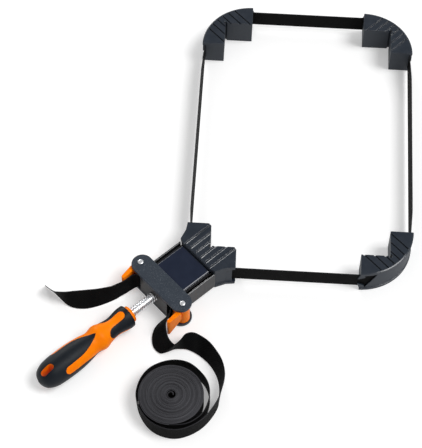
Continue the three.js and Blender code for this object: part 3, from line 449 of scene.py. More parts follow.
def wear_and_highlight_group():
    """Rubbed edges and painted edge highlight: where the surface turns within a small radius, a paler colour
    shows in patches.
    """
    group, given, made = new_group(
        "edge_wear_and_highlight",
        {"Colour": JAW_COLOUR, "Worn": JAW_WORN_AND_HIGHLIGHT, "Width": 0.0008, "Amount": 0.6},
        ("Colour",),
    )
    rounded = add_node(group, "ShaderNodeBevel", samples=6)
    group.links.new(given["Width"], rounded.inputs["Radius"])
    facing = add_node(group, "ShaderNodeVectorMath", operation="DOT_PRODUCT")
    group.links.new(rounded.outputs[0], facing.inputs[0])
    group.links.new(add_node(group, "ShaderNodeNewGeometry").outputs["Normal"], facing.inputs[1])
    edge = map_range(group, facing.outputs["Value"], EDGE_FROM, EDGE_FULL)
    spot = add_node(group, "ShaderNodeTexCoord").outputs["Object"]
    patchy = math_node(group, "ADD", noise(group, spot, WEAR_AND_HIGHLIGHT_PATCH, detail=3), WEAR_AND_HIGHLIGHT_LEAST)
    share = math_node(group, "MULTIPLY", math_node(group, "MULTIPLY", edge, patchy), given["Amount"])
    colour = mix_colour(group, share, given["Colour"], given["Worn"])
    group.links.new(colour, made["Colour"])
    return group


moulded_grain = grain_group()
edge_wear_and_highlight = wear_and_highlight_group()


def new_finish(name, metallic=0.0, specular=0.5):
    finish = bpy.data.materials.new(name)
    finish.use_nodes = True
    shader = finish.node_tree.nodes["Principled BSDF"]
    shader.inputs["Metallic"].default_value = metallic
    shader.inputs["Specular IOR Level"].default_value = specular
    return finish, finish.node_tree, shader


def use_group(tree, group, **values):
    node = add_node(tree, "ShaderNodeGroup", node_tree=group)
    for name, value in values.items():
        node.inputs[name].default_value = value
    return node


def coat(tree, shader, surface, colour, depth):
    """Join a surface group to its shader, with bumps of this depth in metres."""
    bump = add_node(tree, "ShaderNodeBump")
    bump.inputs["Strength"].default_value = 1.0
    bump.inputs["Distance"].default_value = depth
    tree.links.new(surface.outputs["Height"], bump.inputs["Height"])
    tree.links.new(bump.outputs[0], shader.inputs["Normal"])
    tree.links.new(surface.outputs["Roughness"], shader.inputs["Roughness"])
    tree.links.new(colour, shader.inputs["Base Color"])


def moulded_finish(
    name, colour, bloom, worn_and_highlight, roughness, walls=0.0, grain=0.0006, depth=0.00003, wear_and_highlight=0.5, specular=0.5
):
    finish, tree, shader = new_finish(name, specular=specular)
    surface = use_group(
        tree, moulded_grain, Colour=colour, Bloom=bloom, Grain=grain, Roughness=roughness, Walls=walls
    )
    # The edges get a paler colour that is partly wear and partly a painted highlight.
    edges = use_group(tree, edge_wear_and_highlight, Worn=worn_and_highlight, Amount=wear_and_highlight)
    tree.links.new(surface.outputs["Colour"], edges.inputs["Colour"])
    coat(tree, shader, surface, edges.outputs["Colour"], depth)
    return finish


jaw_plastic = moulded_finish("jaw_plastic", JAW_COLOUR, JAW_BLOOM, JAW_WORN_AND_HIGHLIGHT, roughness=0.20, walls=0.38)

bend_centre = (
    ROOT_TWO * (BAND_OFFSET + BEND_RADIUS) - (LOOP_LANE + BEND_RADIUS),
    LOOP_LANE + BEND_RADIUS,
)
bend = arc(bend_centre, BEND_RADIUS, 270, 225, BEND_STEPS)


def jaw_side(recess):
    tip_centre = (ARM_LENGTH - ARM_ROUND, -ARM_ROUND)
    tip = [to_head(point) for point in arc(tip_centre, ARM_ROUND, 90, 0, ROUND_STEPS)]
    end = to_head((ARM_LENGTH, recess - BAND_OFFSET - ARM_GUARD))
    waist = to_head((WAIST_REACH, recess - BAND_OFFSET - WAIST_GUARD))
    shoulder = (JAW_DEPTH - SHOULDER_STEP, LOOP_LANE + SHOULDER_GUARD - recess)
    return [*tip, end, waist, shoulder, (JAW_DEPTH, CORE_HALF_WIDTH)]


def jaw_outline(recess):
    return [(0, 0), *jaw_side(recess), *mirrored(jaw_side(recess))]


ridge_top = JAW_HEIGHT + RIDGE_HEIGHT
ridge_end = JAW_DEPTH - RIDGE_SETBACK
ridge_half = (RIDGE_PITCH - RIDGE_GAP) / 2
past_arms = 2 * ARM_LENGTH


def ridge_groove(number):
    """Gap between two ridges, opening out round their rounded rear ends, and the slope along its far side."""
    middle = (number - (RIDGE_COUNT - 2) / 2) * RIDGE_PITCH
    near = middle - RIDGE_GAP / 2
    far = middle + RIDGE_GAP / 2
    round_at = ridge_end - ridge_half
    left = [(ridge_end + RIDGE_SETBACK / 2, near)]
    right = [(ridge_end + RIDGE_SETBACK / 2, far)]
    if number > 0:
        left = arc((round_at, near - ridge_half), ridge_half, 90, 0, ROUND_STEPS)
    if number < RIDGE_COUNT - 2:
        right = arc((round_at, far + ridge_half), ridge_half, 0, -90, ROUND_STEPS)
    back = ridge_end + RIDGE_SETBACK
    outline = [
        (-past_arms, near), *left, (back, left[-1][1]), (back, right[0][1]), *right, (-past_arms, far),
    ]
    slope = edge_slope(far, -1, RIDGE_SLOPE, RIDGE_TILT, ridge_top, -past_arms, back)
    return slab(outline, JAW_HEIGHT, ridge_top + PAST), slope


front_jaw = slab(jaw_outline(0), SLOT_HIGH, ridge_top)
ridge_stop = rectangle(ridge_end, JAW_DEPTH + PAST, -past_arms, past_arms)
cut(front_jaw, slab(ridge_stop, JAW_HEIGHT, ridge_top + PAST))
for number in range(RIDGE_COUNT - 1):
    cut(front_jaw, *ridge_groove(number))
weld(
    front_jaw,
    slab(jaw_outline(JAW_RECESS), FLANGE / 2, JAW_HEIGHT - FLANGE / 2),
    slab(jaw_outline(0), 0, FLANGE),
)
slot_path = [(JAW_DEPTH + PAST, LOOP_LANE), *bend, to_head((ARM_LENGTH + PAST, -BAND_OFFSET))]
slot_outline = [
    *offset_path(slot_path, -(BAND_THICKNESS / 2 + FIT_GAP)),
    *reversed(offset_path(slot_path, BAND_THICKNESS / 2 + SLOT_PLAY)),
]
wall_from = ARM_LENGTH - ARM_WALL_SETBACK
wall_space = rectangle(wall_from, ARM_LENGTH + PAST, -BAND_OFFSET - 2 * ARM_GUARD, -BAND_OFFSET)
wall_end = [to_head(point) for point in wall_space]
cut(
    front_jaw,
    *both_sides(slot_outline, FLANGE, SLOT_HIGH),
    *both_sides(wall_end, FLANGE, SLOT_HIGH),
    post(0, 0, RELIEF_RADIUS, -PAST, ridge_top + PAST),
)
stem = rectangle(JAW_DEPTH / 2, STEM_END, -STEM_HALF_WIDTH, STEM_HALF_WIDTH)
weld(front_jaw, slab(stem, STEM_LOW, STEM_HIGH))
pocket_near = THRUST_BORE + STEM_WALL
pocket_far = STEM_HALF_WIDTH - STEM_WALL
pocket = rectangle(JAW_DEPTH + STEM_WALL, STEM_END + PAST, pocket_near, pocket_far)
cut(
    front_jaw,
    rod(-ARM_LENGTH, THRUST_DEPTH - THRUST_WALL, THRUST_BORE),
    rod(0, THRUST_DEPTH + PAST, PILOT_BORE),
    rod(THRUST_DEPTH, STEM_END + PAST, THRUST_BORE),
    *both_sides(pocket, STEM_LOW + STEM_WALL, STEM_HIGH - STEM_WALL),
)
round_edges(front_jaw, JAW_EDGE)
settle(front_jaw, "front_jaw_moulding", jaw_plastic, "root", "front_jaw")

# Corner jaws: three loose L-shaped mouldings of the same nylon that sit on the frame's other corners. The
# band runs round an arc in each, between two flanges, behind an outer wall and four small hooked tabs.
WORK_WIDTH = 228
WORK_LENGTH = 363
CORNER_LEG = 37
CORNER_LIP = 3.3
CORNER_BAND_RADIUS = CORNER_LEG + BAND_OFFSET
CORNER_WALL_GAP = 0.75
WALL_RECESS = 0.7
WALL_TOP_HALF_ANGLE = 24
WALL_FOOT_HALF_ANGLE = 39
WALL_END_RISE = 1
WALL_STEPS = 26
TAB_THICKNESS = 2
TAB_RECESS = 0.6
TAB_LENGTH = 6
TAB_HOOK = 3
TAB_POINT = 1.6
TAB_DROP = 9
TAB_RISE = 4
GROOVE_COUNT = 6
GROOVE_WIDTH = 2.1
GROOVE_DEPTH = 2.0
GROOVE_RIM = 1.9
GROOVE_STEPS = 6
BAND_SPACE_PAST = 5
RIM_HALF_ANGLE = 50
RIM_SLOPE = 1.5
RIM_TILT = 25
SLOPE_SHARP = 22
CORNER_EDGE = 0.2
JAW_ARC_STEPS = 40


def skin(rings, closed_ends=True):
    """A grid bent through a row of rings, seam merged and ends closed, with a UV map in metres."""
    count = len(rings[0])
    along = [0.0]
    for before, after in zip(rings, rings[1:]):
        along.append(along[-1] + (Vector(after[0]) - Vector(before[0])).length * MM)
    around = [0.0]
    for side in range(count):
        step = Vector(rings[0][(side + 1) % count]) - Vector(rings[0][side])
        around.append(around[-1] + step.length * MM)
    deselect()
    bpy.ops.mesh.primitive_grid_add(x_subdivisions=count, y_subdivisions=len(rings) - 1)
    piece = bpy.context.object
    layer = piece.data.uv_layers[0]
    layer.name = "weave"
    for loop in piece.data.loops:
        row, column = divmod(loop.vertex_index, count + 1)
        layer.data[loop.index].uv = (along[row], around[column])
    for vertex in piece.data.vertices:
        row, column = divmod(vertex.index, count + 1)
        vertex.co = rings[row][column % count]
    bpy.ops.object.mode_set(mode="EDIT")
    tidy_shell()
    if closed_ends:
        bpy.ops.mesh.fill_holes(sides=0)
        bpy.ops.mesh.normals_make_consistent(inside=False)
    bpy.ops.object.mode_set(mode="OBJECT")
    return piece


leg_centre = (CORNER_LEG, CORNER_LEG)
rim = CORNER_BAND_RADIUS + CORNER_LIP


def bent_bar(half_angle, steps, section_at):
    """Bar bent round the middle of the corner's arc; its section depends on the angle from there."""
    rings = []
    for step in range(steps + 1):
        turn = half_angle * (2 * step / steps - 1)
        angle = math.radians(225 + turn)
        ring = []
        for radius, height in section_at(abs(turn)):
            x = CORNER_LEG + radius * math.cos(angle)
            y = CORNER_LEG + radius * math.sin(angle)
            ring.append((x, y, height))
        rings.append(ring)
    return skin(rings)


def wall_section(turn):
    """The outer wall is highest in the middle and runs down to the lower flange at its ends."""
    share = (WALL_FOOT_HALF_ANGLE - turn) / (WALL_FOOT_HALF_ANGLE - WALL_TOP_HALF_ANGLE)
    low = FLANGE + WALL_END_RISE
    high = low + (JAW_HEIGHT - FLANGE / 2 - low) * min(1, share)
    inside = CORNER_BAND_RADIUS + BAND_THICKNESS / 2 + CORNER_WALL_GAP
    return rectangle(inside, rim - WALL_RECESS, FLANGE / 2, high)


def rim_section(_):
    """Tool that slopes the top down to the rim."""
    fall = math.tan(math.radians(RIM_TILT))
    inner = rim - RIM_SLOPE
    outer = rim + PAST
    foot = JAW_HEIGHT - (RIM_SLOPE + PAST) * fall
    above = JAW_HEIGHT + PAST
    return [(inner, JAW_HEIGHT), (outer, foot), (outer, above), (inner, above)]


def from_head(point):
    """From setback and aside of the spindle to the frame's own directions."""
    setback, aside = point
    return ((aside - setback) / ROOT_TWO, -(aside + setback) / ROOT_TWO)


def corner_groove(number):
    """Groove in the top along the diagonal of the corner, open at the inner edges and round near the rim."""
    aside = (number - (GROOVE_COUNT - 1) / 2) * RIDGE_PITCH
    half = GROOVE_WIDTH / 2
    reach = rim - GROOVE_RIM
    outer = math.sqrt(reach**2 - aside**2) - ROOT_TWO * CORNER_LEG - half
    inner = -abs(aside) - PAST
    end = arc((outer, aside), half, -90, 90, GROOVE_STEPS)
    outline = [(inner, aside - half), *end, (inner, aside + half)]
    return slab([from_head(point) for point in outline], JAW_HEIGHT - GROOVE_DEPTH, JAW_HEIGHT + PAST)


def corner_tab(root, tip, swap):
    """Hooked tab at an arm's end, from a flange to its pointed tip; swap puts it on the other arm."""
    rise = math.copysign(TAB_RISE, root - tip)
    end = CORNER_LEG + TAB_HOOK
    section = [
        (CORNER_LEG - TAB_LENGTH, root),
        (CORNER_LEG - TAB_RECESS, root),
        (end, tip),
        (end - TAB_POINT, tip),
        (CORNER_LEG - TAB_LENGTH, tip + rise),
    ]
    outside = CORNER_LEG - rim + TAB_RECESS
    tab = bar(section, outside, outside + TAB_THICKNESS)
    if swap:
        for corner in tab.data.vertices:
            corner.co = (corner.co.y, corner.co.x, corner.co.z)
        tab.data.flip_normals()
    return tab


corner_outline = [(CORNER_LEG, 0), (0, 0), (0, CORNER_LEG), *arc(leg_centre, rim, 180, 270, JAW_ARC_STEPS)]
corner_jaw = slab(corner_outline, 0, JAW_HEIGHT)
web = CORNER_BAND_RADIUS - BAND_THICKNESS / 2 - FIT_GAP
band_space = [
    *arc(leg_centre, rim + PAST, 180 - BAND_SPACE_PAST, 270 + BAND_SPACE_PAST, JAW_ARC_STEPS),
    *arc(leg_centre, web, 270 + BAND_SPACE_PAST, 180 - BAND_SPACE_PAST, JAW_ARC_STEPS),
]
cut(corner_jaw, slab(band_space, FLANGE, SLOT_HIGH))
weld(corner_jaw, bent_bar(WALL_FOOT_HALF_ANGLE, WALL_STEPS, wall_section))
for swap in (False, True):
    weld(
        corner_jaw,
        corner_tab(FLANGE / 2, FLANGE + TAB_DROP, swap),
        corner_tab(JAW_HEIGHT - FLANGE / 2, SLOT_HIGH - TAB_DROP, swap),
    )
for number in range(GROOVE_COUNT):
    cut(corner_jaw, corner_groove(number))
cut(
    corner_jaw,
    bent_bar(RIM_HALF_ANGLE, JAW_ARC_STEPS, rim_section),
    post(0, 0, RELIEF_RADIUS, -PAST, JAW_HEIGHT + PAST),
)
round_edges(corner_jaw, CORNER_EDGE)

corner_places = [
    ("corner_jaw_front_right", WORK_WIDTH, 0, 90),
    ("corner_jaw_back_right", WORK_WIDTH, WORK_LENGTH, 180),
    ("corner_jaw_back_left", 0, WORK_LENGTH, 270),
]
for node, x, y, turn in corner_places:
    jaw = corner_jaw.copy()
    jaw.data = corner_jaw.data.copy()
    bpy.context.collection.objects.link(jaw)
    place = ((CORNER + x) * MM, (CORNER + y) * MM, 0)
    facing = math.radians(turn)
    settle(jaw, node + "_moulding", jaw_plastic, "root", node, place, facing, SLOPE_SHARP)
bpy.data.objects.remove(corner_jaw)

# Band round the frame: one run of 25 mm black nylon webbing from the guide channels through the front jaw
# and round the three corner jaws, pulled tight. Its two long free runs lean outwards a little.
BAND_WIDTH = 25.4
BAND_LOW = 6.3
WARP_PITCH = 0.0016
WEFT_PITCH = 0.0030
YARN_DIP = 0.3
WEAVE_ROUGHNESS = 0.70
YARN_GLOSS = 0.18
WEAVE_DEPTH = 0.00018
SHINE_PATCH = 0.02
SHINE_LEAST = 0.25
SELVEDGE_FROM = 0.0015
SELVEDGE_FULL = 0.0006
RUB_LENGTH = 0.16
RUB_FROM = 0.30
RUB_FULL = 0.70
RUB_LEAST = 0.40
BAND_EDGE = 0.4
BAND_ARC_STEPS = 30
LOOP_END = 67
LOOP_BEFORE_JAW = 45
LONG_SPAN = 200
LONG_SPAN_STEPS = 16
LONG_SPAN_LEAN = 2.4
LONG_SPAN_RAMP = 2.5
BAND_COLOUR = (0.0018, 0.0018, 0.0019, 1)
# Painted sheen: the lighter colour that the yarns' crowns are painted towards.
BAND_SHINE = (0.0105, 0.0105, 0.0110, 1)
# Paler edges of the band: partly rubbed, partly a painted highlight.
BAND_SELVEDGE = (0.0400, 0.0400, 0.0440, 1)
BAND_EDGE_ROUND = math.hypot(BAND_THICKNESS / 4, BAND_EDGE)
BAND_HALF_ROUND = (BAND_WIDTH - 2 * BAND_EDGE + 2 * BAND_EDGE_ROUND + BAND_THICKNESS / 2) * MM
BAND_EDGE_MIDDLE = (BAND_EDGE_ROUND + BAND_THICKNESS / 4) * MM


def webbing(feet, leans):
    """Band with soft edges through points on its lower edge, whose upper edge leans aside there."""
    half = BAND_THICKNESS / 2
    top = BAND_WIDTH - BAND_EDGE
    section = [
        (-half, BAND_EDGE), (-half / 2, 0), (half / 2, 0), (half, BAND_EDGE),
        (half, top), (half / 2, BAND_WIDTH), (-half / 2, BAND_WIDTH), (-half, top),
    ]
    rings = []
    for at, (foot, lean) in enumerate(zip(feet, leans)):
        rise = math.sqrt(BAND_WIDTH**2 - lean[0] ** 2 - lean[1] ** 2)
        across = Vector((lean[0], lean[1], rise)).normalized()
        ahead = Vector(feet[min(at + 1, len(feet) - 1)]) - Vector(feet[max(at - 1, 0)])
        face = ahead.cross(across).normalized()
        rings.append([Vector(foot) + face * out + across * up for out, up in section])
    return skin(rings)


def weave_group():
    """Nylon webbing: plump warp yarns that dip under the wefts in turn, their crowns lightened as a painted
    sheen, between paler edges that are partly rubbed and partly a painted highlight.
    """
    group, given, made = new_group(
        "webbing_weave",
        {
            "Colour": BAND_COLOUR, "Shine": BAND_SHINE, "Selvedge": BAND_SELVEDGE,
            "Warp": WARP_PITCH, "Weft": WEFT_PITCH,
        },
        ("Colour", "Roughness", "Height"),
    )
    place = add_node(group, "ShaderNodeSeparateXYZ")
    group.links.new(add_node(group, "ShaderNodeTexCoord").outputs["UV"], place.inputs[0])
    along = place.outputs["X"]
    around = place.outputs["Y"]
    yarn = math_node(group, "DIVIDE", around, given["Warp"])
    plump = math_node(group, "SINE", math_node(group, "MULTIPLY", math_node(group, "FRACT", yarn), math.pi))
    stagger = math_node(group, "MULTIPLY", math_node(group, "FLOOR", yarn), 0.5)
    pick = math_node(group, "ADD", math_node(group, "DIVIDE", along, given["Weft"]), stagger)
    over = math_node(group, "COSINE", math_node(group, "MULTIPLY", pick, 2 * math.pi))
    rise = math_node(group, "MULTIPLY", plump, math_node(group, "MULTIPLY_ADD", over, YARN_DIP, 1 - YARN_DIP))
    # Patches where the painted sheen on the yarn crowns is stronger.
    wear_and_highlight = noise(group, add_node(group, "ShaderNodeTexCoord").outputs["Object"], SHINE_PATCH, detail=3)
    share = math_node(group, "MULTIPLY", rise, math_node(group, "ADD", wear_and_highlight, SHINE_LEAST))
    cloth = mix_colour(group, share, given["Colour"], given["Shine"])
    # Paler edges, rubbed in patches along the band and partly a painted highlight.
    from_first = math_node(group, "SUBTRACT", around, BAND_EDGE_MIDDLE)
    sides = math_node(group, "DIVIDE", from_first, BAND_HALF_ROUND)
    from_edge = math_node(group, "SUBTRACT", sides, math_node(group, "ROUND", sides))
    away = math_node(group, "MULTIPLY", math_node(group, "ABSOLUTE", from_edge), BAND_HALF_ROUND)
    edge = map_range(group, away, SELVEDGE_FROM, SELVEDGE_FULL)
    run = add_node(group, "ShaderNodeCombineXYZ")
    group.links.new(along, run.inputs["X"])
    rub = noise(group, run.outputs[0], RUB_LENGTH, detail=3)
    rubbed = map_range(group, rub, RUB_FROM, RUB_FULL, RUB_LEAST, 1.0)
    edge_share = math_node(group, "MULTIPLY", edge, rubbed)
    group.links.new(mix_colour(group, edge_share, cloth, given["Selvedge"]), made["Colour"])
    rough = math_node(group, "MULTIPLY_ADD", rise, -YARN_GLOSS, WEAVE_ROUGHNESS)
    group.links.new(rough, made["Roughness"])
    group.links.new(rise, made["Height"])
    return group


webbing_weave = weave_group()


def webbing_finish(name, selvedge):
    finish, tree, shader = new_finish(name, specular=0.03)
    cloth = use_group(tree, webbing_weave, Selvedge=selvedge)
    coat(tree, shader, cloth, cloth.outputs["Colour"], WEAVE_DEPTH)
    return finish


black_webbing = webbing_finish("black_webbing", BAND_SELVEDGE)

loop_start = [(LOOP_END, LOOP_LANE), (LOOP_BEFORE_JAW, LOOP_LANE), *bend]
loop_path = [from_head(point) for point in loop_start]
loop_left = [(y, x) for x, y in reversed(loop_path)]
far_x = WORK_WIDTH - CORNER_LEG
far_y = WORK_LENGTH - CORNER_LEG
for x, y, start in ((far_x, CORNER_LEG, -90), (far_x, far_y, 0), (CORNER_LEG, far_y, 90)):
    loop_path.extend(arc((x, y), CORNER_BAND_RADIUS, start, start + 90, BAND_ARC_STEPS))
loop_path.extend(loop_left)
loop_feet = []
loop_leans = []
for (x0, y0), (x1, y1) in zip(loop_path, loop_path[1:]):
    span = math.hypot(x1 - x0, y1 - y0)
    steps = LONG_SPAN_STEPS if span > LONG_SPAN else 1
    for step in range(steps):
        share = step / steps
        lean = LONG_SPAN_LEAN * min(1, LONG_SPAN_RAMP * math.sin(math.pi * share)) / span
        loop_feet.append((x0 + (x1 - x0) * share, y0 + (y1 - y0) * share, BAND_LOW))
        loop_leans.append(((y1 - y0) * lean, (x0 - x1) * lean))
loop_feet.append((*loop_path[-1], BAND_LOW))
loop_leans.append((0, 0))
band_round_frame = webbing(loop_feet, loop_leans)
settle(band_round_frame, "band_round_frame", black_webbing, "root", "band_loop", turn=0)

# Guide body: a tray of the same nylon that slides on the front jaw's stem, with a band channel along each
# side. Its thick rear wall holds the spindle's nut.
BODY_FRONT = 24.5
BODY_END = 94.5
BODY_LOW = 3.8
TRAY_TOP = 31.4
CAVITY_LOW = 6.8
CAVITY_HALF = 22.5
CHANNEL_LEAD = 2.75
CHANNEL_TIP = 3.75
CHANNEL_TIP_WIDTH = 0.5
CHANNEL_END = 69.5
CHANNEL_FLOOR = 6.0
CHANNEL_SIDE = 31.25
CHANNEL_OUTSIDE = 33.45
CHANNEL_TOP = 32.5
CHANNEL_SLOPE = 1.1
EDGE_TILT = 25
REAR_WALL_FACE = 81.5
PIVOT = 81
BOSS_SPREAD = 18
BOSS_RADIUS = 3
BOSS_HEIGHT = 1.8
BOSS_ROOT = 1
BOSS_SIDES = 24
NUT_SEAT_RADIUS = 11.316
NUT_SEAT_END = 89.8
NUT_SIDES = 6
SCREW_BORE = 6.5
HOLE_SIDES = 32
BODY_EDGE = 0.5
BODY_COLOUR = (0.0075, 0.0080, 0.0100, 1)
BODY_BLOOM = (0.0115, 0.0118, 0.0138, 1)

guide_body = slab(rectangle(BODY_FRONT, BODY_END, -CORE_HALF_WIDTH, CORE_HALF_WIDTH), BODY_LOW, TRAY_TOP)
for side in (-1, 1):
    floor_near, floor_far = sorted((side * CAVITY_HALF, side * CHANNEL_OUTSIDE))
    wall_front = BODY_FRONT - CHANNEL_TIP
    boss_span = (BODY_LOW - BOSS_HEIGHT, CAVITY_LOW - BOSS_ROOT)
    wall_plan = [
        (BODY_FRONT - CHANNEL_LEAD, side * CHANNEL_SIDE),
        (CHANNEL_END, side * CHANNEL_SIDE),
        (CHANNEL_END, side * CHANNEL_OUTSIDE),
        (wall_front, side * CHANNEL_OUTSIDE),
        (wall_front + CHANNEL_TIP_WIDTH, side * (CHANNEL_OUTSIDE - CHANNEL_TIP_WIDTH)),
    ]
    weld(
        guide_body,
        slab(rectangle(BODY_FRONT, CHANNEL_END, floor_near, floor_far), BODY_LOW, CHANNEL_FLOOR),
        slab(wall_plan, BODY_LOW, CHANNEL_TOP),
        post(PIVOT, side * BOSS_SPREAD, BOSS_RADIUS, *boss_span, BOSS_SIDES),
    )
    channel_edge = side * CHANNEL_OUTSIDE
    slope_span = (wall_front - PAST, CHANNEL_END + PAST)
    cut(guide_body, edge_slope(channel_edge, side, CHANNEL_SLOPE, EDGE_TILT, CHANNEL_TOP, *slope_span))
cavity = rectangle(BODY_FRONT - PAST, REAR_WALL_FACE, -CAVITY_HALF, CAVITY_HALF)
cut(
    guide_body,
    slab(cavity, CAVITY_LOW, TRAY_TOP + PAST),
    rod(REAR_WALL_FACE - PAST, NUT_SEAT_END, NUT_SEAT_RADIUS, NUT_SIDES),
    rod(REAR_WALL_FACE, BODY_END + PAST, SCREW_BORE, HOLE_SIDES),
)
round_edges(guide_body, BODY_EDGE)
body_plastic = moulded_finish("body_plastic", BODY_COLOUR, BODY_BLOOM, JAW_WORN_AND_HIGHLIGHT, roughness=0.22, walls=0.28)
settle(
    guide_body, "guide_body_moulding", body_plastic, "clamp_body", "guide_body",
    smooth=SLOPE_SHARP,
)

# Cover: a flat navy moulding with sloped side edges that closes the guide body, held down by the yoke's top
# plate.
COVER_LOW = 31.7
COVER_HIGH = 34.2
COVER_SLOPE = 1.4
COVER_EDGE = 0.4
COVER_COLOUR = (0.0034, 0.0082, 0.0250, 1)
COVER_BLOOM = (0.0055, 0.0110, 0.0300, 1)
# Paler edge colour of the cover: partly wear, partly a painted highlight.
COVER_WORN_AND_HIGHLIGHT = (0.120, 0.125, 0.140, 1)

body_cover = slab(rectangle(BODY_FRONT, BODY_END, -CORE_HALF_WIDTH, CORE_HALF_WIDTH), COVER_LOW, COVER_HIGH)
for side in (-1, 1):
    cover_edge = side * CORE_HALF_WIDTH
    slope_span = (BODY_FRONT - PAST, BODY_END + PAST)
    cut(body_cover, edge_slope(cover_edge, side, COVER_SLOPE, EDGE_TILT, COVER_HIGH, *slope_span))
    boss_span = (COVER_LOW + BOSS_ROOT, COVER_HIGH + BOSS_HEIGHT)
    weld(body_cover, post(PIVOT, side * BOSS_SPREAD, BOSS_RADIUS, *boss_span, BOSS_SIDES))
round_edges(body_cover, COVER_EDGE)
cover_plastic = moulded_finish(
    "cover_plastic", COVER_COLOUR, COVER_BLOOM, COVER_WORN_AND_HIGHLIGHT, roughness=0.20, walls=0.2, specular=0.4
)
settle(
    body_cover, "body_cover_moulding", cover_plastic, "clamp_body", "body_cover",
    smooth=SLOPE_SHARP,
)

# Yoke: two slate-grey plates over and under the guide body, moulded with a fine speckle, that carry the
# levers' rivets in their rounded ends. The top is bare.
YOKE_RADIUS = 13.7
YOKE_SPREAD = 36.8
YOKE_STEPS = 32
PLATE_THICKNESS = 3.5
PIVOT_SPREAD = 40
RIVET_HOLE = 3.1
HEAD_SEAT_RADIUS = 3.9
HEAD_SEAT_DEPTH = 1.7
PLATE_EDGE = 0.7
YOKE_COLOUR = (0.0120, 0.0200, 0.0330, 1)
YOKE_BLOOM = (0.0165, 0.0260, 0.0400, 1)
# Paler edge colour of the yoke: partly wear, partly a painted highlight.
YOKE_WORN_AND_HIGHLIGHT = (0.060, 0.068, 0.082, 1)
YOKE_SPECK = (0.060, 0.070, 0.086, 1)
SPECK_SIZE = 0.0011
SPECK_FROM = 0.58
SPECK_FULL = 0.72

yoke_outline = [
    *arc((PIVOT, YOKE_SPREAD), YOKE_RADIUS, 0, 180, YOKE_STEPS),
    *arc((PIVOT, -YOKE_SPREAD), YOKE_RADIUS, 180, 360, YOKE_STEPS),
]
yoke_plastic = moulded_finish(
    "yoke_plastic", YOKE_COLOUR, YOKE_BLOOM, YOKE_WORN_AND_HIGHLIGHT,
    roughness=0.52, grain=0.0009, depth=0.00006, specular=0.42,
)
tree = yoke_plastic.node_tree
shader = tree.nodes["Principled BSDF"]
plain = shader.inputs["Base Color"].links[0].from_socket
spot = add_node(tree, "ShaderNodeTexCoord").outputs["Object"]
specks = map_range(tree, noise(tree, spot, SPECK_SIZE, detail=1), SPECK_FROM, SPECK_FULL)
tree.links.new(mix_colour(tree, specks, plain, YOKE_SPECK), shader.inputs["Base Color"])

for node, low in (("yoke_top_plate", JAW_HEIGHT - PLATE_THICKNESS), ("yoke_bottom_plate", 0)):
    is_top = low > 0
    high = low + PLATE_THICKNESS
    plate = slab(yoke_outline, low, high)
    socket = (low - PAST, low + BOSS_HEIGHT) if is_top else (high - BOSS_HEIGHT, high + PAST)
    for side in (-1, 1):
        cut(
            plate,
            post(PIVOT, side * PIVOT_SPREAD, RIVET_HOLE, low - PAST, high + PAST, HOLE_SIDES),
            post(PIVOT, side * BOSS_SPREAD, BOSS_RADIUS + FIT_GAP, *socket, BOSS_SIDES),
        )
        if not is_top:
            cut(plate, post(PIVOT, side * PIVOT_SPREAD, HEAD_SEAT_RADIUS, -PAST, HEAD_SEAT_DEPTH, HOLE_SIDES))
    round_edges(plate, PLATE_EDGE if is_top else PLATE_EDGE / 2, segments=3)
    settle(plate, node + "_moulding", yoke_plastic, "clamp_body", node)

# Rivets: two bright turned steel pins, flat below and domed above, that hold the yoke's plates together and
# carry the levers.
RIVET_PROFILE = [
    (0, 0.3), (3.4, 0.3), (3.6, 0.5), (3.6, 1.4), (2.8, 1.4), (2.8, 38.3), (3.55, 38.3), (3.6, 38.45),
    (3.45, 38.85), (2.9, 39.18), (2.0, 39.34), (1.0, 39.4), (0, 39.4),
]
METAL_DEPTH = 0.00002
ZINC = (0.86, 0.87, 0.89, 1)
ZINC_DULL = (0.66, 0.67, 0.69, 1)


def spun(profile):
    """Chain of points turned about the upright axis."""
    deselect()
    bpy.ops.mesh.primitive_circle_add(vertices=len(profile), fill_type="NOTHING")
    piece = bpy.context.object
    for corner, (radius, height) in zip(piece.data.vertices, profile):
        corner.co = (radius, 0, height)
    bpy.ops.object.mode_set(mode="EDIT")
    bpy.ops.mesh.select_all(action="SELECT")
    bpy.ops.mesh.spin(steps=ROUND_SIDES, angle=2 * math.pi, center=(0, 0, 0), axis=(0, 0, 1))
    tidy_shell()
    bpy.ops.mesh.select_all(action="SELECT")
    bpy.ops.mesh.delete_loose(use_verts=True, use_edges=True, use_faces=False)
    bpy.ops.object.mode_set(mode="OBJECT")
    return piece


def metal_finish(name, bright, dull, roughness):
    finish, tree, shader = new_finish(name, metallic=1.0)
    look = {"Colour": bright, "Bloom": dull, "Patch": 0.004, "Grain": 0.0004, "Swing": 0.2}
    surface = use_group(tree, moulded_grain, Roughness=roughness, **look)
    coat(tree, shader, surface, surface.outputs["Colour"], METAL_DEPTH)
    return finish


zinc_plate = metal_finish("zinc_plate", ZINC, ZINC_DULL, roughness=0.34)
HANDS = (("left", -1), ("right", 1))
for hand, side in HANDS:
    x, y = from_head((PIVOT, side * PIVOT_SPREAD))
    place = (HEAD_PLACE[0] + x * MM, HEAD_PLACE[1] + y * MM, 0)
    rivet = spun(RIVET_PROFILE)
    settle(rivet, hand + "_rivet_pin", zinc_plate, "clamp_body", hand + "_rivet", place)

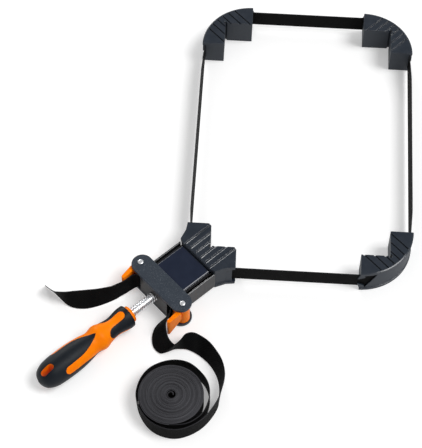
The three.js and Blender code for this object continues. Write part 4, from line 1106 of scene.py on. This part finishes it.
# Cam levers: orange mouldings on the rivets. The nose of each hub grips the band in its channel, and lifting
# the arm away from the band lets it go.
LEVER_LOW = 3.8
LEVER_HIGH = 34.2
HUB_RADIUS = 9
NOSE_SETBACK = 1.5
NOSE_RADIUS = 8.8
NOSE_ASIDE = -4.1
LEVER_LENGTH = 30
LEVER_TIP_WIDTH = 4.8
LEVER_OUTER_EDGE = 8.4
LEVER_ROOT = 13
LEVER_HEEL = 9
LEVER_HEEL_INSIDE = 4
LEVER_HEEL_HEIGHT = 15.2
LEFT_ARM_TURN = 12
LEVER_TIP_STEPS = 10
LEVER_EDGE = 0.7
HUB_SIDES = 64
SPRING_SEAT = 28.5
SPRING_BORE = 4.9
ORANGE = (1.0, 0.240, 0.0010, 1)
ORANGE_DEEP = (0.97, 0.200, 0.0008, 1)
# Paler edge colour of the levers: partly wear, partly a painted highlight.
ORANGE_WORN_AND_HIGHLIGHT = (0.94, 0.34, 0.04, 1)

orange_plastic = moulded_finish(
    "orange_plastic", ORANGE, ORANGE_DEEP, ORANGE_WORN_AND_HIGHLIGHT, roughness=0.36, grain=0.0008, wear_and_highlight=0.4, specular=0.07
)


def cam_lever(side, arm_turn):
    """Lever about its rivet, its arm turned in by some degrees; the left one is the right one mirrored."""
    tip_round = LEVER_TIP_WIDTH / 2
    tip_centre = (LEVER_LENGTH - tip_round, LEVER_OUTER_EDGE - tip_round)
    arm = [
        (0, 0),
        (LEVER_ROOT, (LEVER_OUTER_EDGE - LEVER_TIP_WIDTH) / 2),
        *arc(tip_centre, tip_round, -90, 90, LEVER_TIP_STEPS),
        (LEVER_HEEL, LEVER_OUTER_EDGE),
        (LEVER_HEEL, LEVER_HEEL_INSIDE),
    ]
    cosine = math.cos(math.radians(arm_turn))
    sine = math.sin(math.radians(arm_turn))
    placed = []
    for setback, aside in arm:
        turned_aside = aside * cosine - setback * sine
        placed.append((PIVOT + setback * cosine + aside * sine, side * (PIVOT_SPREAD + turned_aside)))
    lever = slab(placed, LEVER_LOW, LEVER_HIGH)
    heel = PIVOT + LEVER_HEEL
    tip = PIVOT + LEVER_LENGTH
    heel_high = LEVER_LOW + LEVER_HEEL_HEIGHT
    under = LEVER_LOW - PAST
    front = PIVOT - PAST
    wedge = slab(
        [(front, under), (tip, under), (tip, LEVER_LOW), (heel, heel_high), (front, heel_high)],
        -2 * PIVOT_SPREAD,
        2 * PIVOT_SPREAD,
    )
    for corner in wedge.data.vertices:
        setback, height, aside = corner.co
        corner.co = (setback, -aside, height)
    cut(lever, wedge)
    hub_side = side * PIVOT_SPREAD
    nose_side = side * (PIVOT_SPREAD + NOSE_ASIDE)
    weld(
        lever,
        post(PIVOT, hub_side, HUB_RADIUS, LEVER_LOW, LEVER_HIGH, HUB_SIDES),
        post(PIVOT + NOSE_SETBACK, nose_side, NOSE_RADIUS, LEVER_LOW, LEVER_HIGH, HUB_SIDES),
    )
    cut(
        lever,
        post(PIVOT, hub_side, RIVET_HOLE, LEVER_LOW - PAST, LEVER_HIGH + PAST, HOLE_SIDES),
        post(PIVOT, hub_side, SPRING_BORE, SPRING_SEAT, LEVER_HIGH + PAST, HOLE_SIDES),
    )
    round_edges(lever, LEVER_EDGE)
    return lever


for hand, side in HANDS:
    lever = cam_lever(side, LEFT_ARM_TURN if hand == "left" else 0)
    node = hand + "_lever"
    settle(lever, node + "_moulding", orange_plastic, node, node)

# Lever springs: small coils of spring wire round the rivets, in the tops of the levers' hubs, that press the
# noses onto the band.
SPRING_RADIUS = 3.85
SPRING_WIRE = 0.45
SPRING_CURLS = 3
SPRING_PITCH = 1.5
SPRING_STEPS = 24
WIRE_SIDES = 10
WIRE = (0.30, 0.31, 0.33, 1)
WIRE_DULL = (0.20, 0.21, 0.22, 1)


def lever_spring(side):
    rings = []
    for step in range(SPRING_CURLS * SPRING_STEPS + 1):
        turn = side * step * 2 * math.pi / SPRING_STEPS
        rise = SPRING_SEAT + FIT_GAP + SPRING_WIRE + step * SPRING_PITCH / SPRING_STEPS
        ring = []
        for corner in range(WIRE_SIDES):
            angle = corner * 2 * math.pi / WIRE_SIDES
            reach = SPRING_RADIUS + SPRING_WIRE * math.cos(angle)
            x = PIVOT + reach * math.cos(turn)
            y = side * PIVOT_SPREAD + reach * math.sin(turn)
            ring.append((x, y, rise + SPRING_WIRE * math.sin(angle)))
        rings.append(ring)
    return skin(rings)


spring_wire = metal_finish("spring_wire", WIRE, WIRE_DULL, roughness=0.35)
for hand, side in HANDS:
    node = hand + "_lever_spring"
    settle(lever_spring(side), hand + "_lever_coil_spring", spring_wire, "clamp_body", node)

# Spindle: a zinc-plated steel screw with a coarse rolled thread. Its pilot turns in the front jaw behind a
# thrust washer and a clip, its thread runs through the nut in the guide body, and its tang is moulded into
# the handle.
TANG_END = 165
THREAD_RADIUS = 6.2
THREAD_DEPTH = 1.3
THREAD_PITCH = 3.5
THREAD_TURNS = 15
THREAD_END = 130
THREAD_CREST = 0.9
THREAD_FLANK = 0.85
THREAD_SIDES = 40
THREAD_ROWS = 16
PILOT_TIP = 4.5
PILOT_CHAMFER = 0.9
PILOT_RADIUS = 3.4
CLIP_GROOVE = 2.5
CLIP_FROM = 7.0
CLIP_TO = 9.0
SHOULDER = 18.1
SHOULDER_CHAMFER = 0.3

thread_start = THREAD_END - THREAD_TURNS * THREAD_PITCH
shank_stations = [
    (PILOT_TIP, CLIP_GROOVE),
    (PILOT_TIP + PILOT_CHAMFER, PILOT_RADIUS),
    (CLIP_FROM, PILOT_RADIUS),
    (CLIP_FROM, CLIP_GROOVE),
    (CLIP_TO, CLIP_GROOVE),
    (CLIP_TO, PILOT_RADIUS),
    (SHOULDER, PILOT_RADIUS),
    (SHOULDER, THREAD_RADIUS - SHOULDER_CHAMFER),
    (SHOULDER + SHOULDER_CHAMFER, THREAD_RADIUS),
    (thread_start - THREAD_DEPTH, THREAD_RADIUS),
]
tang_stations = [(THREAD_END + THREAD_DEPTH, THREAD_RADIUS), (TANG_END, THREAD_RADIUS)]


def spindle_ring(station, radii):
    ring = []
    for side, radius in enumerate(radii):
        angle = 2 * math.pi * side / THREAD_SIDES
        ring.append((station, radius * math.cos(angle), AXIS_HEIGHT + radius * math.sin(angle)))
    return ring


def plain_rings(stations):
    return [spindle_ring(station, [radius] * THREAD_SIDES) for station, radius in stations]


def smooth_step(share):
    share = min(1, max(0, share))
    return share * share * (3 - 2 * share)


def thread_radius(row, side):
    """Radius of the thread at a row and side: a rounded crest that winds one pitch in each turn."""
    from_crest = abs((row / THREAD_ROWS + side / THREAD_SIDES) % 1 - 0.5) * THREAD_PITCH
    share = (THREAD_CREST / 2 + THREAD_FLANK - from_crest) / THREAD_FLANK
    return THREAD_RADIUS - THREAD_DEPTH + THREAD_DEPTH * smooth_step(share)


thread_rings = []
for row in range(THREAD_TURNS * THREAD_ROWS + 1):
    radii = [thread_radius(row, side) for side in range(THREAD_SIDES)]
    thread_rings.append(spindle_ring(thread_start + row * THREAD_PITCH / THREAD_ROWS, radii))
spindle = skin([*plain_rings(shank_stations), *thread_rings, *plain_rings(tang_stations)])
settle(spindle, "spindle_screw", zinc_plate, "handle", "spindle")

# Nut, washer and clip: plain steel fittings on the spindle, out of sight inside the guide body and the front
# jaw, so their solids stay as they are and get a finish.
fittings = (("spindle_nut", zinc_plate), ("thrust_washer", zinc_plate), ("spindle_clip", spring_wire))
for node, finish in fittings:
    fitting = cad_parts[node]
    fitting.data.materials.clear()
    fitting.data.materials.append(finish)

# Handle core: orange polypropylene with a short collar in front and a hang hole behind. It comes to the
# surface as three stripes between the soft grips.
HANDLE_FRONT = 131.5
COLLAR_PROFILE = [(0, 8.0), (0, 10.0), (0.35, 10.85), (1.2, 11.2), (3, 11.2), (4.2, 11.2)]
HANDLE_PROFILE = [
    (4.5, 13.8), (6, 14.9), (14.5, 14.8), (28.5, 12.6), (40.5, 14), (51.5, 16.8), (62.5, 14.6), (74.5, 16.6),
    (90.5, 18.4), (109.5, 18.7), (126.5, 17.6), (136.5, 14.4), (142.5, 9.4), (145.5, 0),
]
PROFILE_PAST_END = (142.5, -9.4)
PROFILE_STEPS = 12
HANDLE_SIDES = 144
HANDLE_SMOOTH = 50
HANG_STEPS = 12
PAD_END_STEPS = 12
PAD_SIDE_STEPS = 8
TONGUE_STEPS = 18
TONGUE_SIDE_STEPS = 6
FILLET_STEPS = 10
NARROWEST = 3
CORE_FROM = 4.7
CORE_TO = 143.1
CORE_STEP = 0.75
CORE_TIP = 143.9
CORE_TIP_RADIUS = 1.5
GRIP_THICKNESS = 1.2
POCKET_MARGIN = 1.0
STRIPES = 3
HALF_STRIPE = 180 / STRIPES
FRONT_RING_END = 11.5
FRONT_FILLET_FROM = 17.5
FRONT_PAD_STRAIGHT = 33
FRONT_PAD_END = 42
FRONT_PAD_ANGLE = 38
FRONT_PAD_TAPER = 0.92
REAR_TIP = 55.5
REAR_FULL = 92.5
REAR_TIP_SHAPE = 1.25
REAR_TONGUE_ANGLE = 43
REAR_ROUND_FROM = 109
REAR_ROUND_ANGLE = 44
REAR_CAP_START = 114.5
HANG_STATION = 131.5
HANG_LENGTH = 18
HANG_WIDTH = 9
HANG_LINING = 0.9


def spline(points, steps, last=None):
    """Smooth curve through points, the same steps between each two."""
    points = [Vector(point) for point in points]
    before = points[0] * 2 - points[1]
    after = Vector(last) if last else points[-1] * 2 - points[-2]
    padded = [before, *points, after]
    curve = []
    for at in range(1, len(padded) - 2):
        p0, p1, p2, p3 = padded[at - 1 : at + 3]
        start_slope = (p2 - p0) / 2
        end_slope = (p3 - p1) / 2
        for step in range(steps):
            t = step / steps
            square = (3 * (p2 - p1) - 2 * start_slope - end_slope) * t**2
            cube = (2 * (p1 - p2) + start_slope + end_slope) * t**3
            curve.append(p1 + start_slope * t + square + cube)
    return [*curve, points[-1]]


handle_curve = spline(HANDLE_PROFILE, PROFILE_STEPS, last=PROFILE_PAST_END)


def handle_radius(station):
    for before, after in zip(handle_curve, handle_curve[1:]):
        if before.x <= station <= after.x:
            return before.y + (after.y - before.y) * (station - before.x) / (after.x - before.x)
    return handle_curve[0].y if station < handle_curve[0].x else 0.0


def quick_start(share):
    return math.sin(share * math.pi / 2)


def slow_start(share):
    return 1 - math.cos(share * math.pi / 2)


def steady(share):
    return share


def tip_start(share):
    return share**REAR_TIP_SHAPE


def grip_edge(start, *stretches):
    """Half of a grip's edge as stations and degrees from the middle, each stretch with its own easing."""
    edge = [start]
    for station, angle, steps, station_ease, angle_ease in stretches:
        from_station, from_angle = edge[-1]
        for step in range(1, steps + 1):
            share = step / steps
            next_station = from_station + (station - from_station) * station_ease(share)
            edge.append((next_station, from_angle + (angle - from_angle) * angle_ease(share)))
    return edge


def half_angle(edge, station):
    for (s0, a0), (s1, a1) in zip(edge, edge[1:]):
        low, high = sorted((s0, s1))
        if low <= station <= high and low < high:
            return a0 + (a1 - a0) * (station - s0) / (s1 - s0)
    return 0.0


front_edge = grip_edge(
    (FRONT_PAD_END, 0),
    (FRONT_PAD_STRAIGHT, FRONT_PAD_ANGLE * FRONT_PAD_TAPER, PAD_END_STEPS, slow_start, quick_start),
    (FRONT_FILLET_FROM, FRONT_PAD_ANGLE, PAD_SIDE_STEPS, steady, steady),
    (FRONT_RING_END, HALF_STRIPE, FILLET_STEPS, quick_start, slow_start),
)
rear_edge = grip_edge(
    (REAR_TIP, 0),
    (REAR_FULL, REAR_TONGUE_ANGLE, TONGUE_STEPS, tip_start, quick_start),
    (REAR_ROUND_FROM, REAR_ROUND_ANGLE, TONGUE_SIDE_STEPS, steady, steady),
    (REAR_CAP_START, HALF_STRIPE, FILLET_STEPS, quick_start, slow_start),
)


def grip_depth(station, angle):
    """How far the core lies under the surface: a pocket's depth below the grips, nothing in the stripes."""
    from_top = abs((angle + HALF_STRIPE) % (2 * HALF_STRIPE) - HALF_STRIPE)
    from_pad = HALF_STRIPE - from_top
    margin = math.degrees(POCKET_MARGIN / max(handle_radius(station), NARROWEST))
    under_ends = not FRONT_RING_END - POCKET_MARGIN < station < REAR_CAP_START + POCKET_MARGIN
    under_tongue = from_top < half_angle(rear_edge, station) - margin
    under_pad = from_pad < half_angle(front_edge, station) - margin
    return GRIP_THICKNESS if under_ends or under_tongue or under_pad else 0.0


def around_axis(station, radius, angle):
    """Point about the handle's axis, with the angle counted from the top."""
    turn = math.radians(angle)
    return (HANDLE_FRONT + station, -radius * math.sin(turn), AXIS_HEIGHT + radius * math.cos(turn))


def stadium(middle, length, width):
    reach = (length - width) / 2
    return [
        *arc((HANDLE_FRONT + middle + reach, 0), width / 2, -90, 90, HANG_STEPS),
        *arc((HANDLE_FRONT + middle - reach, 0), width / 2, 90, 270, HANG_STEPS),
    ]


core_angles = [360 * side / HANDLE_SIDES for side in range(HANDLE_SIDES)]
core_rings = []
for station, radius in COLLAR_PROFILE:
    core_rings.append([around_axis(station, radius, angle) for angle in core_angles])
for row in range(int((CORE_TO - CORE_FROM) / CORE_STEP)):
    station = CORE_FROM + row * CORE_STEP
    radius = handle_radius(station)
    ring = [around_axis(station, radius - grip_depth(station, angle), angle) for angle in core_angles]
    core_rings.append(ring)
core_rings.append([around_axis(CORE_TIP, CORE_TIP_RADIUS, angle) for angle in core_angles])
handle_core = skin(core_rings)
hang_low = -JAW_HEIGHT
hang_high = 2 * JAW_HEIGHT
cut(
    handle_core,
    slab(stadium(HANG_STATION, HANG_LENGTH - HANG_LINING, HANG_WIDTH - HANG_LINING), hang_low, hang_high),
    rod(HANDLE_FRONT - PAST, TANG_END + FIT_GAP, SCREW_BORE),
)
settle(
    handle_core, "handle_core_moulding", orange_plastic, "handle", "handle_core",
    smooth=HANDLE_SMOOTH,
)

# Soft grips: black thermoplastic rubber moulded over the core. The front one is a ring with three round-ended
# pads, the rear one a cap with three pointed tongues, and both stand a hair proud of the stripes.
GRIP_PROUD = 0.15
GRIP_LIP = [(0.0, -0.9), (0.0, -0.25), (0.15, -0.02), (0.45, 0.11), (1.0, GRIP_PROUD)]
GRIP_ROWS = 34
GRIP_EASE = 0.6
REAR_END = 145.3
REAR_END_TIP = 145.45
REAR_INSIDE_TIP = 144.1
REAR_INSIDE_FROM = 120.5
REAR_INSIDE_SETBACK = 1.0
TIP_RADIUS = 0.01
FRONT_FACE = [(5.2, 0.15), (4.8, -0.25), (4.55, -1.0)]
FRONT_FACE_RADIUS = 11.6
RUBBER = (0.0026, 0.0052, 0.0090, 1)
RUBBER_BLOOM = (0.0048, 0.0078, 0.0122, 1)
# Paler edge colour of the grips: partly wear, partly a painted highlight.
RUBBER_WORN_AND_HIGHLIGHT = (0.028, 0.032, 0.038, 1)


def edge_columns(half_edge, first_middle):
    """The whole edge round the handle: each half edge used on both sides of three middles."""
    last = len(half_edge) - 1
    columns = []
    for tongue in range(STRIPES):
        middle = first_middle + 2 * HALF_STRIPE * tongue
        for at in range(-last, last):
            station, angle = half_edge[abs(at)]
            even = middle + HALF_STRIPE * at / last
            columns.append((station, middle + math.copysign(angle, at), even))
    return columns


def soft_grip(half_edge, first_middle, far_station, inward):
    """Rows of a grip's outer surface from its shaped lip to its far end: station, angle and proudness."""
    columns = edge_columns(half_edge, first_middle)
    count = len(columns)
    rows = []
    for depth, proud in GRIP_LIP:
        row = []
        for at, (station, angle, _) in enumerate(columns):
            before = columns[at - 1]
            after = columns[(at + 1) % count]
            radius = handle_radius(station)
            turn = (after[1] - before[1] + 180) % 360 - 180
            ahead = Vector((after[0] - before[0], math.radians(turn) * radius)).normalized()
            inside = Vector((-ahead.y, ahead.x)) * inward
            if inside.x * inward < 0:
                inside = -inside
            row.append((station + inside.x * depth, angle + math.degrees(inside.y * depth / radius), proud))
        rows.append(row)
    lip = rows[-1]
    for step in range(1, GRIP_ROWS + 1):
        share = step / GRIP_ROWS
        ease = smooth_step(share / GRIP_EASE)
        row = []
        for (station, angle, _), (_, _, even) in zip(lip, columns):
            row.append((station + (far_station - station) * share, angle + (even - angle) * ease, GRIP_PROUD))
        rows.append(row)
    return rows


def grip_ring(row, sink=None):
    """Ring of points on a row, as proud as the row says or sunk to the core."""
    ring = []
    for station, angle, proud in row:
        height = proud if sink is None else sink
        ring.append(around_axis(station, max(handle_radius(station) + height, 0.0), angle))
    return ring


grip_rubber = moulded_finish(
    "grip_rubber", RUBBER, RUBBER_BLOOM, RUBBER_WORN_AND_HIGHLIGHT,
    roughness=0.48, grain=0.0005, depth=0.00005, wear_and_highlight=0.3, specular=0.18,
)

lip_rows = len(GRIP_LIP)
rear_rows = soft_grip(rear_edge, 0, REAR_END, 1)
rings = [[around_axis(REAR_INSIDE_TIP, TIP_RADIUS, angle) for _, angle, _ in rear_rows[-1]]]
for row in reversed(rear_rows[lip_rows:-2]):
    inside_row = []
    for station, angle, proud in row:
        setback = REAR_INSIDE_SETBACK if station > REAR_INSIDE_FROM else 0
        inside_row.append((station - setback, angle, proud))
    rings.append(grip_ring(inside_row, -GRIP_THICKNESS))
rings.extend(grip_ring(row) for row in rear_rows)
rings.append([around_axis(REAR_END_TIP, TIP_RADIUS, angle) for _, angle, _ in rear_rows[-1]])
rear_grip = skin(rings)
cut(rear_grip, slab(stadium(HANG_STATION, HANG_LENGTH, HANG_WIDTH), hang_low, hang_high))

front_rows = soft_grip(front_edge, HALF_STRIPE, FRONT_FACE[0][0], -1)
rings = [grip_ring(row) for row in front_rows]
for station, sink in FRONT_FACE[1:]:
    radius = handle_radius(station) + sink
    rings.append([around_axis(station, radius, angle) for _, angle, _ in front_rows[-1]])
rings.append([around_axis(FRONT_FACE[-1][0], FRONT_FACE_RADIUS, angle) for _, angle, _ in front_rows[-1]])
rings.extend(grip_ring(row, -GRIP_THICKNESS) for row in reversed(front_rows[lip_rows:-1]))
rings.append(rings[0])
front_grip = skin(rings, closed_ends=False)
for grip, node in ((rear_grip, "handle_rear_grip"), (front_grip, "handle_front_grip")):
    settle(grip, node + "_rubber", grip_rubber, "handle", node, smooth=HANDLE_SMOOTH)

# Free band: the same webbing past the levers. The short tail on the left lies on its edge and turns over at
# its end, and the long run on the right waves back, goes round its own roll and is wound up in it by hand, a
# little unevenly. Each knot is a setback, aside and height of the lower edge and the upper edge's lean there.
ROUTE_STEPS = 8
FREE_LANE = 26.3
LANE_START = 27.1
LANE_END = PIVOT + HUB_RADIUS / 2
FLOOR_LIFT = 0.3
LEAD_ROUTE = [
    (91, 26.7, 6, 0, 3), (97.5, 27.2, 5.2, 0, 8.5), (105, 27, 4, -0.5, 12), (112.5, 27.2, 2.6, -4, 13.5),
    (120.5, 30, 1.8, -9.5, 12.8), (129, 36.8, 1.2, -14.5, 11.5), (135.5, 47.5, 0.8, -17.5, 8),
    (135, 58.5, 0.8, -14.5, 6.5), (127.5, 63, 0.8, -6.5, 8), (117.9, 66.2, 0.8, 0, 5.8),
    (111.8, 70.9, 0.8, -0.4, 0.5), (105.8, 77.8, 0.8, -6, -9), (101.8, 88.5, 0.8, -14.5, -15.5),
    (99.8, 100, 0.8, -16, -13.5), (99.6, 111, 0.8, -12.5, -3), (101.3, 121.6, 0.8, -10, 3),
    (105.7, 133.9, 0.8, -7, 4), (112.2, 143.9, 0.8, -4.7, 3.4), (120.8, 152.9, 0.6, -2, 2.3),
    (134, 163.2, 0.3, 0, 0), (158, 169.3, 0.3, 0, 0), (180, 167, 0.3, 0, 0), (198.5, 157, 0.3, 0, 0),
    (210, 138, 0.3, 0, 0), (210.8, 117.1, 0.3, 0.9, -0.1), (202.1, 95.1, 0.3, 1.0, -0.8),
    (183.9, 81.5, 0.3, 0.6, -1.5), (162.7, 76, 0.3, 0, 0), (139.4, 84.7, 0.3, 0, 0), (125, 102, 0.3, 0, 0),
    (122.8, 126.5, 0.3, 0, 0), (128.6, 143.5, 0.3, 0, 0), (141, 156, 0.3, 0, 0), (160, 164.2, 0.3, 0, 0),
    (181, 161.4, 0.3, 0, 0),
]
TAIL_ROUTE = [
    (91, -27.6, 6, 0, -2.5), (97.5, -31, 5.2, 0, -5), (105, -32.6, 4.2, 0, -4.3),
    (112, -33.6, 3.4, 0.4, -4.2), (119, -35, 2.6, 0.8, -5.2), (128, -36.6, 1.6, 0, -6.8),
    (146, -42.3, 0.8, -6, -9.5), (161.5, -49.6, 0.8, -9.5, -12.5), (172, -59.2, 0.8, -8, -10),
    (177, -69, 0.8, -3, -5), (178, -80.5, 0.8, 2.2, 1.6), (178.2, -93.6, 0.8, 6.4, 8.5),
    (179.5, -103, 0.8, 7.1, 10), (180.7, -110.5, 0.8, 6.9, 10.4),
]
ROLL_MIDDLE = (169.4, 120.5)
ROLL_RADIUS = 39.6
ROLL_HOLE = 5.6
ROLL_TURNS = 30
ROLL_STEPS = 56
ROLL_START = math.radians(45)
ROLL_SETTLED = 2
ROLL_LOOSE = 0.5
# The roll's edges are painted paler still: a painted highlight on the top of the roll, over the rubbed edges.
ROLL_SELVEDGE_AND_HIGHLIGHT = (0.0980, 0.0980, 0.1080, 1)
ROLL_WANDER = 0.12
ROLL_WANDER_RATE = 1.2
ROLL_UNEVEN = 0.7
ROLL_UNEVEN_RATE = 1.9
CURL_TURNS = 0.8
CURL_END = 2.0


def roll_row(turn):
    """Row of the roll so many turns from its outside; past the last one the end curls into the hole."""
    settled = min(1, turn / ROLL_SETTLED)
    radius = ROLL_RADIUS - (ROLL_RADIUS - ROLL_HOLE) * turn / ROLL_TURNS
    radius += ROLL_LOOSE * max(0, 1 - turn) + ROLL_WANDER * settled * math.sin(turn * ROLL_WANDER_RATE)
    if turn > ROLL_TURNS:
        radius = ROLL_HOLE + (CURL_END - ROLL_HOLE) * (turn - ROLL_TURNS) / CURL_TURNS
    lift = FLOOR_LIFT + ROLL_UNEVEN * settled * (1 - math.cos(turn * ROLL_UNEVEN_RATE)) / 2
    angle = ROLL_START - 2 * math.pi * turn
    return (ROLL_MIDDLE[0] + radius * math.cos(angle), ROLL_MIDDLE[1] + radius * math.sin(angle), lift, 0, 0)


def free_band(name, rows, node, finish):
    feet = [row[:3] for row in rows]
    piece = webbing(feet, [row[3:] for row in rows])
    settle(piece, name, finish, "clamp_body", node)


def routed(lane, route):
    """Rows of a free run: straight through the guide's lane, then smoothly along its route."""
    knots = [(LANE_END, lane, BAND_LOW, 0, 0), *route]
    feet = spline([knot[:3] for knot in knots], ROUTE_STEPS)
    leans = spline([(*knot[3:], 0) for knot in knots], ROUTE_STEPS)
    rows = [(*foot, lean[0], lean[1]) for foot, lean in zip(feet, leans)]
    return [(LANE_START, lane, BAND_LOW, 0, 0), *rows]


# The roll gets its own copy of the webbing whose paler edges paint a highlight on its top.
roll_webbing_with_highlight = webbing_finish("roll_webbing_with_highlight", ROLL_SELVEDGE_AND_HIGHLIGHT)
roll_rows = [roll_row(step / ROLL_STEPS) for step in range(round((ROLL_TURNS + CURL_TURNS) * ROLL_STEPS))]
free_band("band_tail_webbing", routed(-FREE_LANE, TAIL_ROUTE), "band_tail", black_webbing)
free_band("band_lead_webbing", routed(FREE_LANE, [*LEAD_ROUTE, roll_row(0)]), "band_lead", black_webbing)
free_band("band_roll_webbing", roll_rows, "band_coil", roll_webbing_with_highlight)
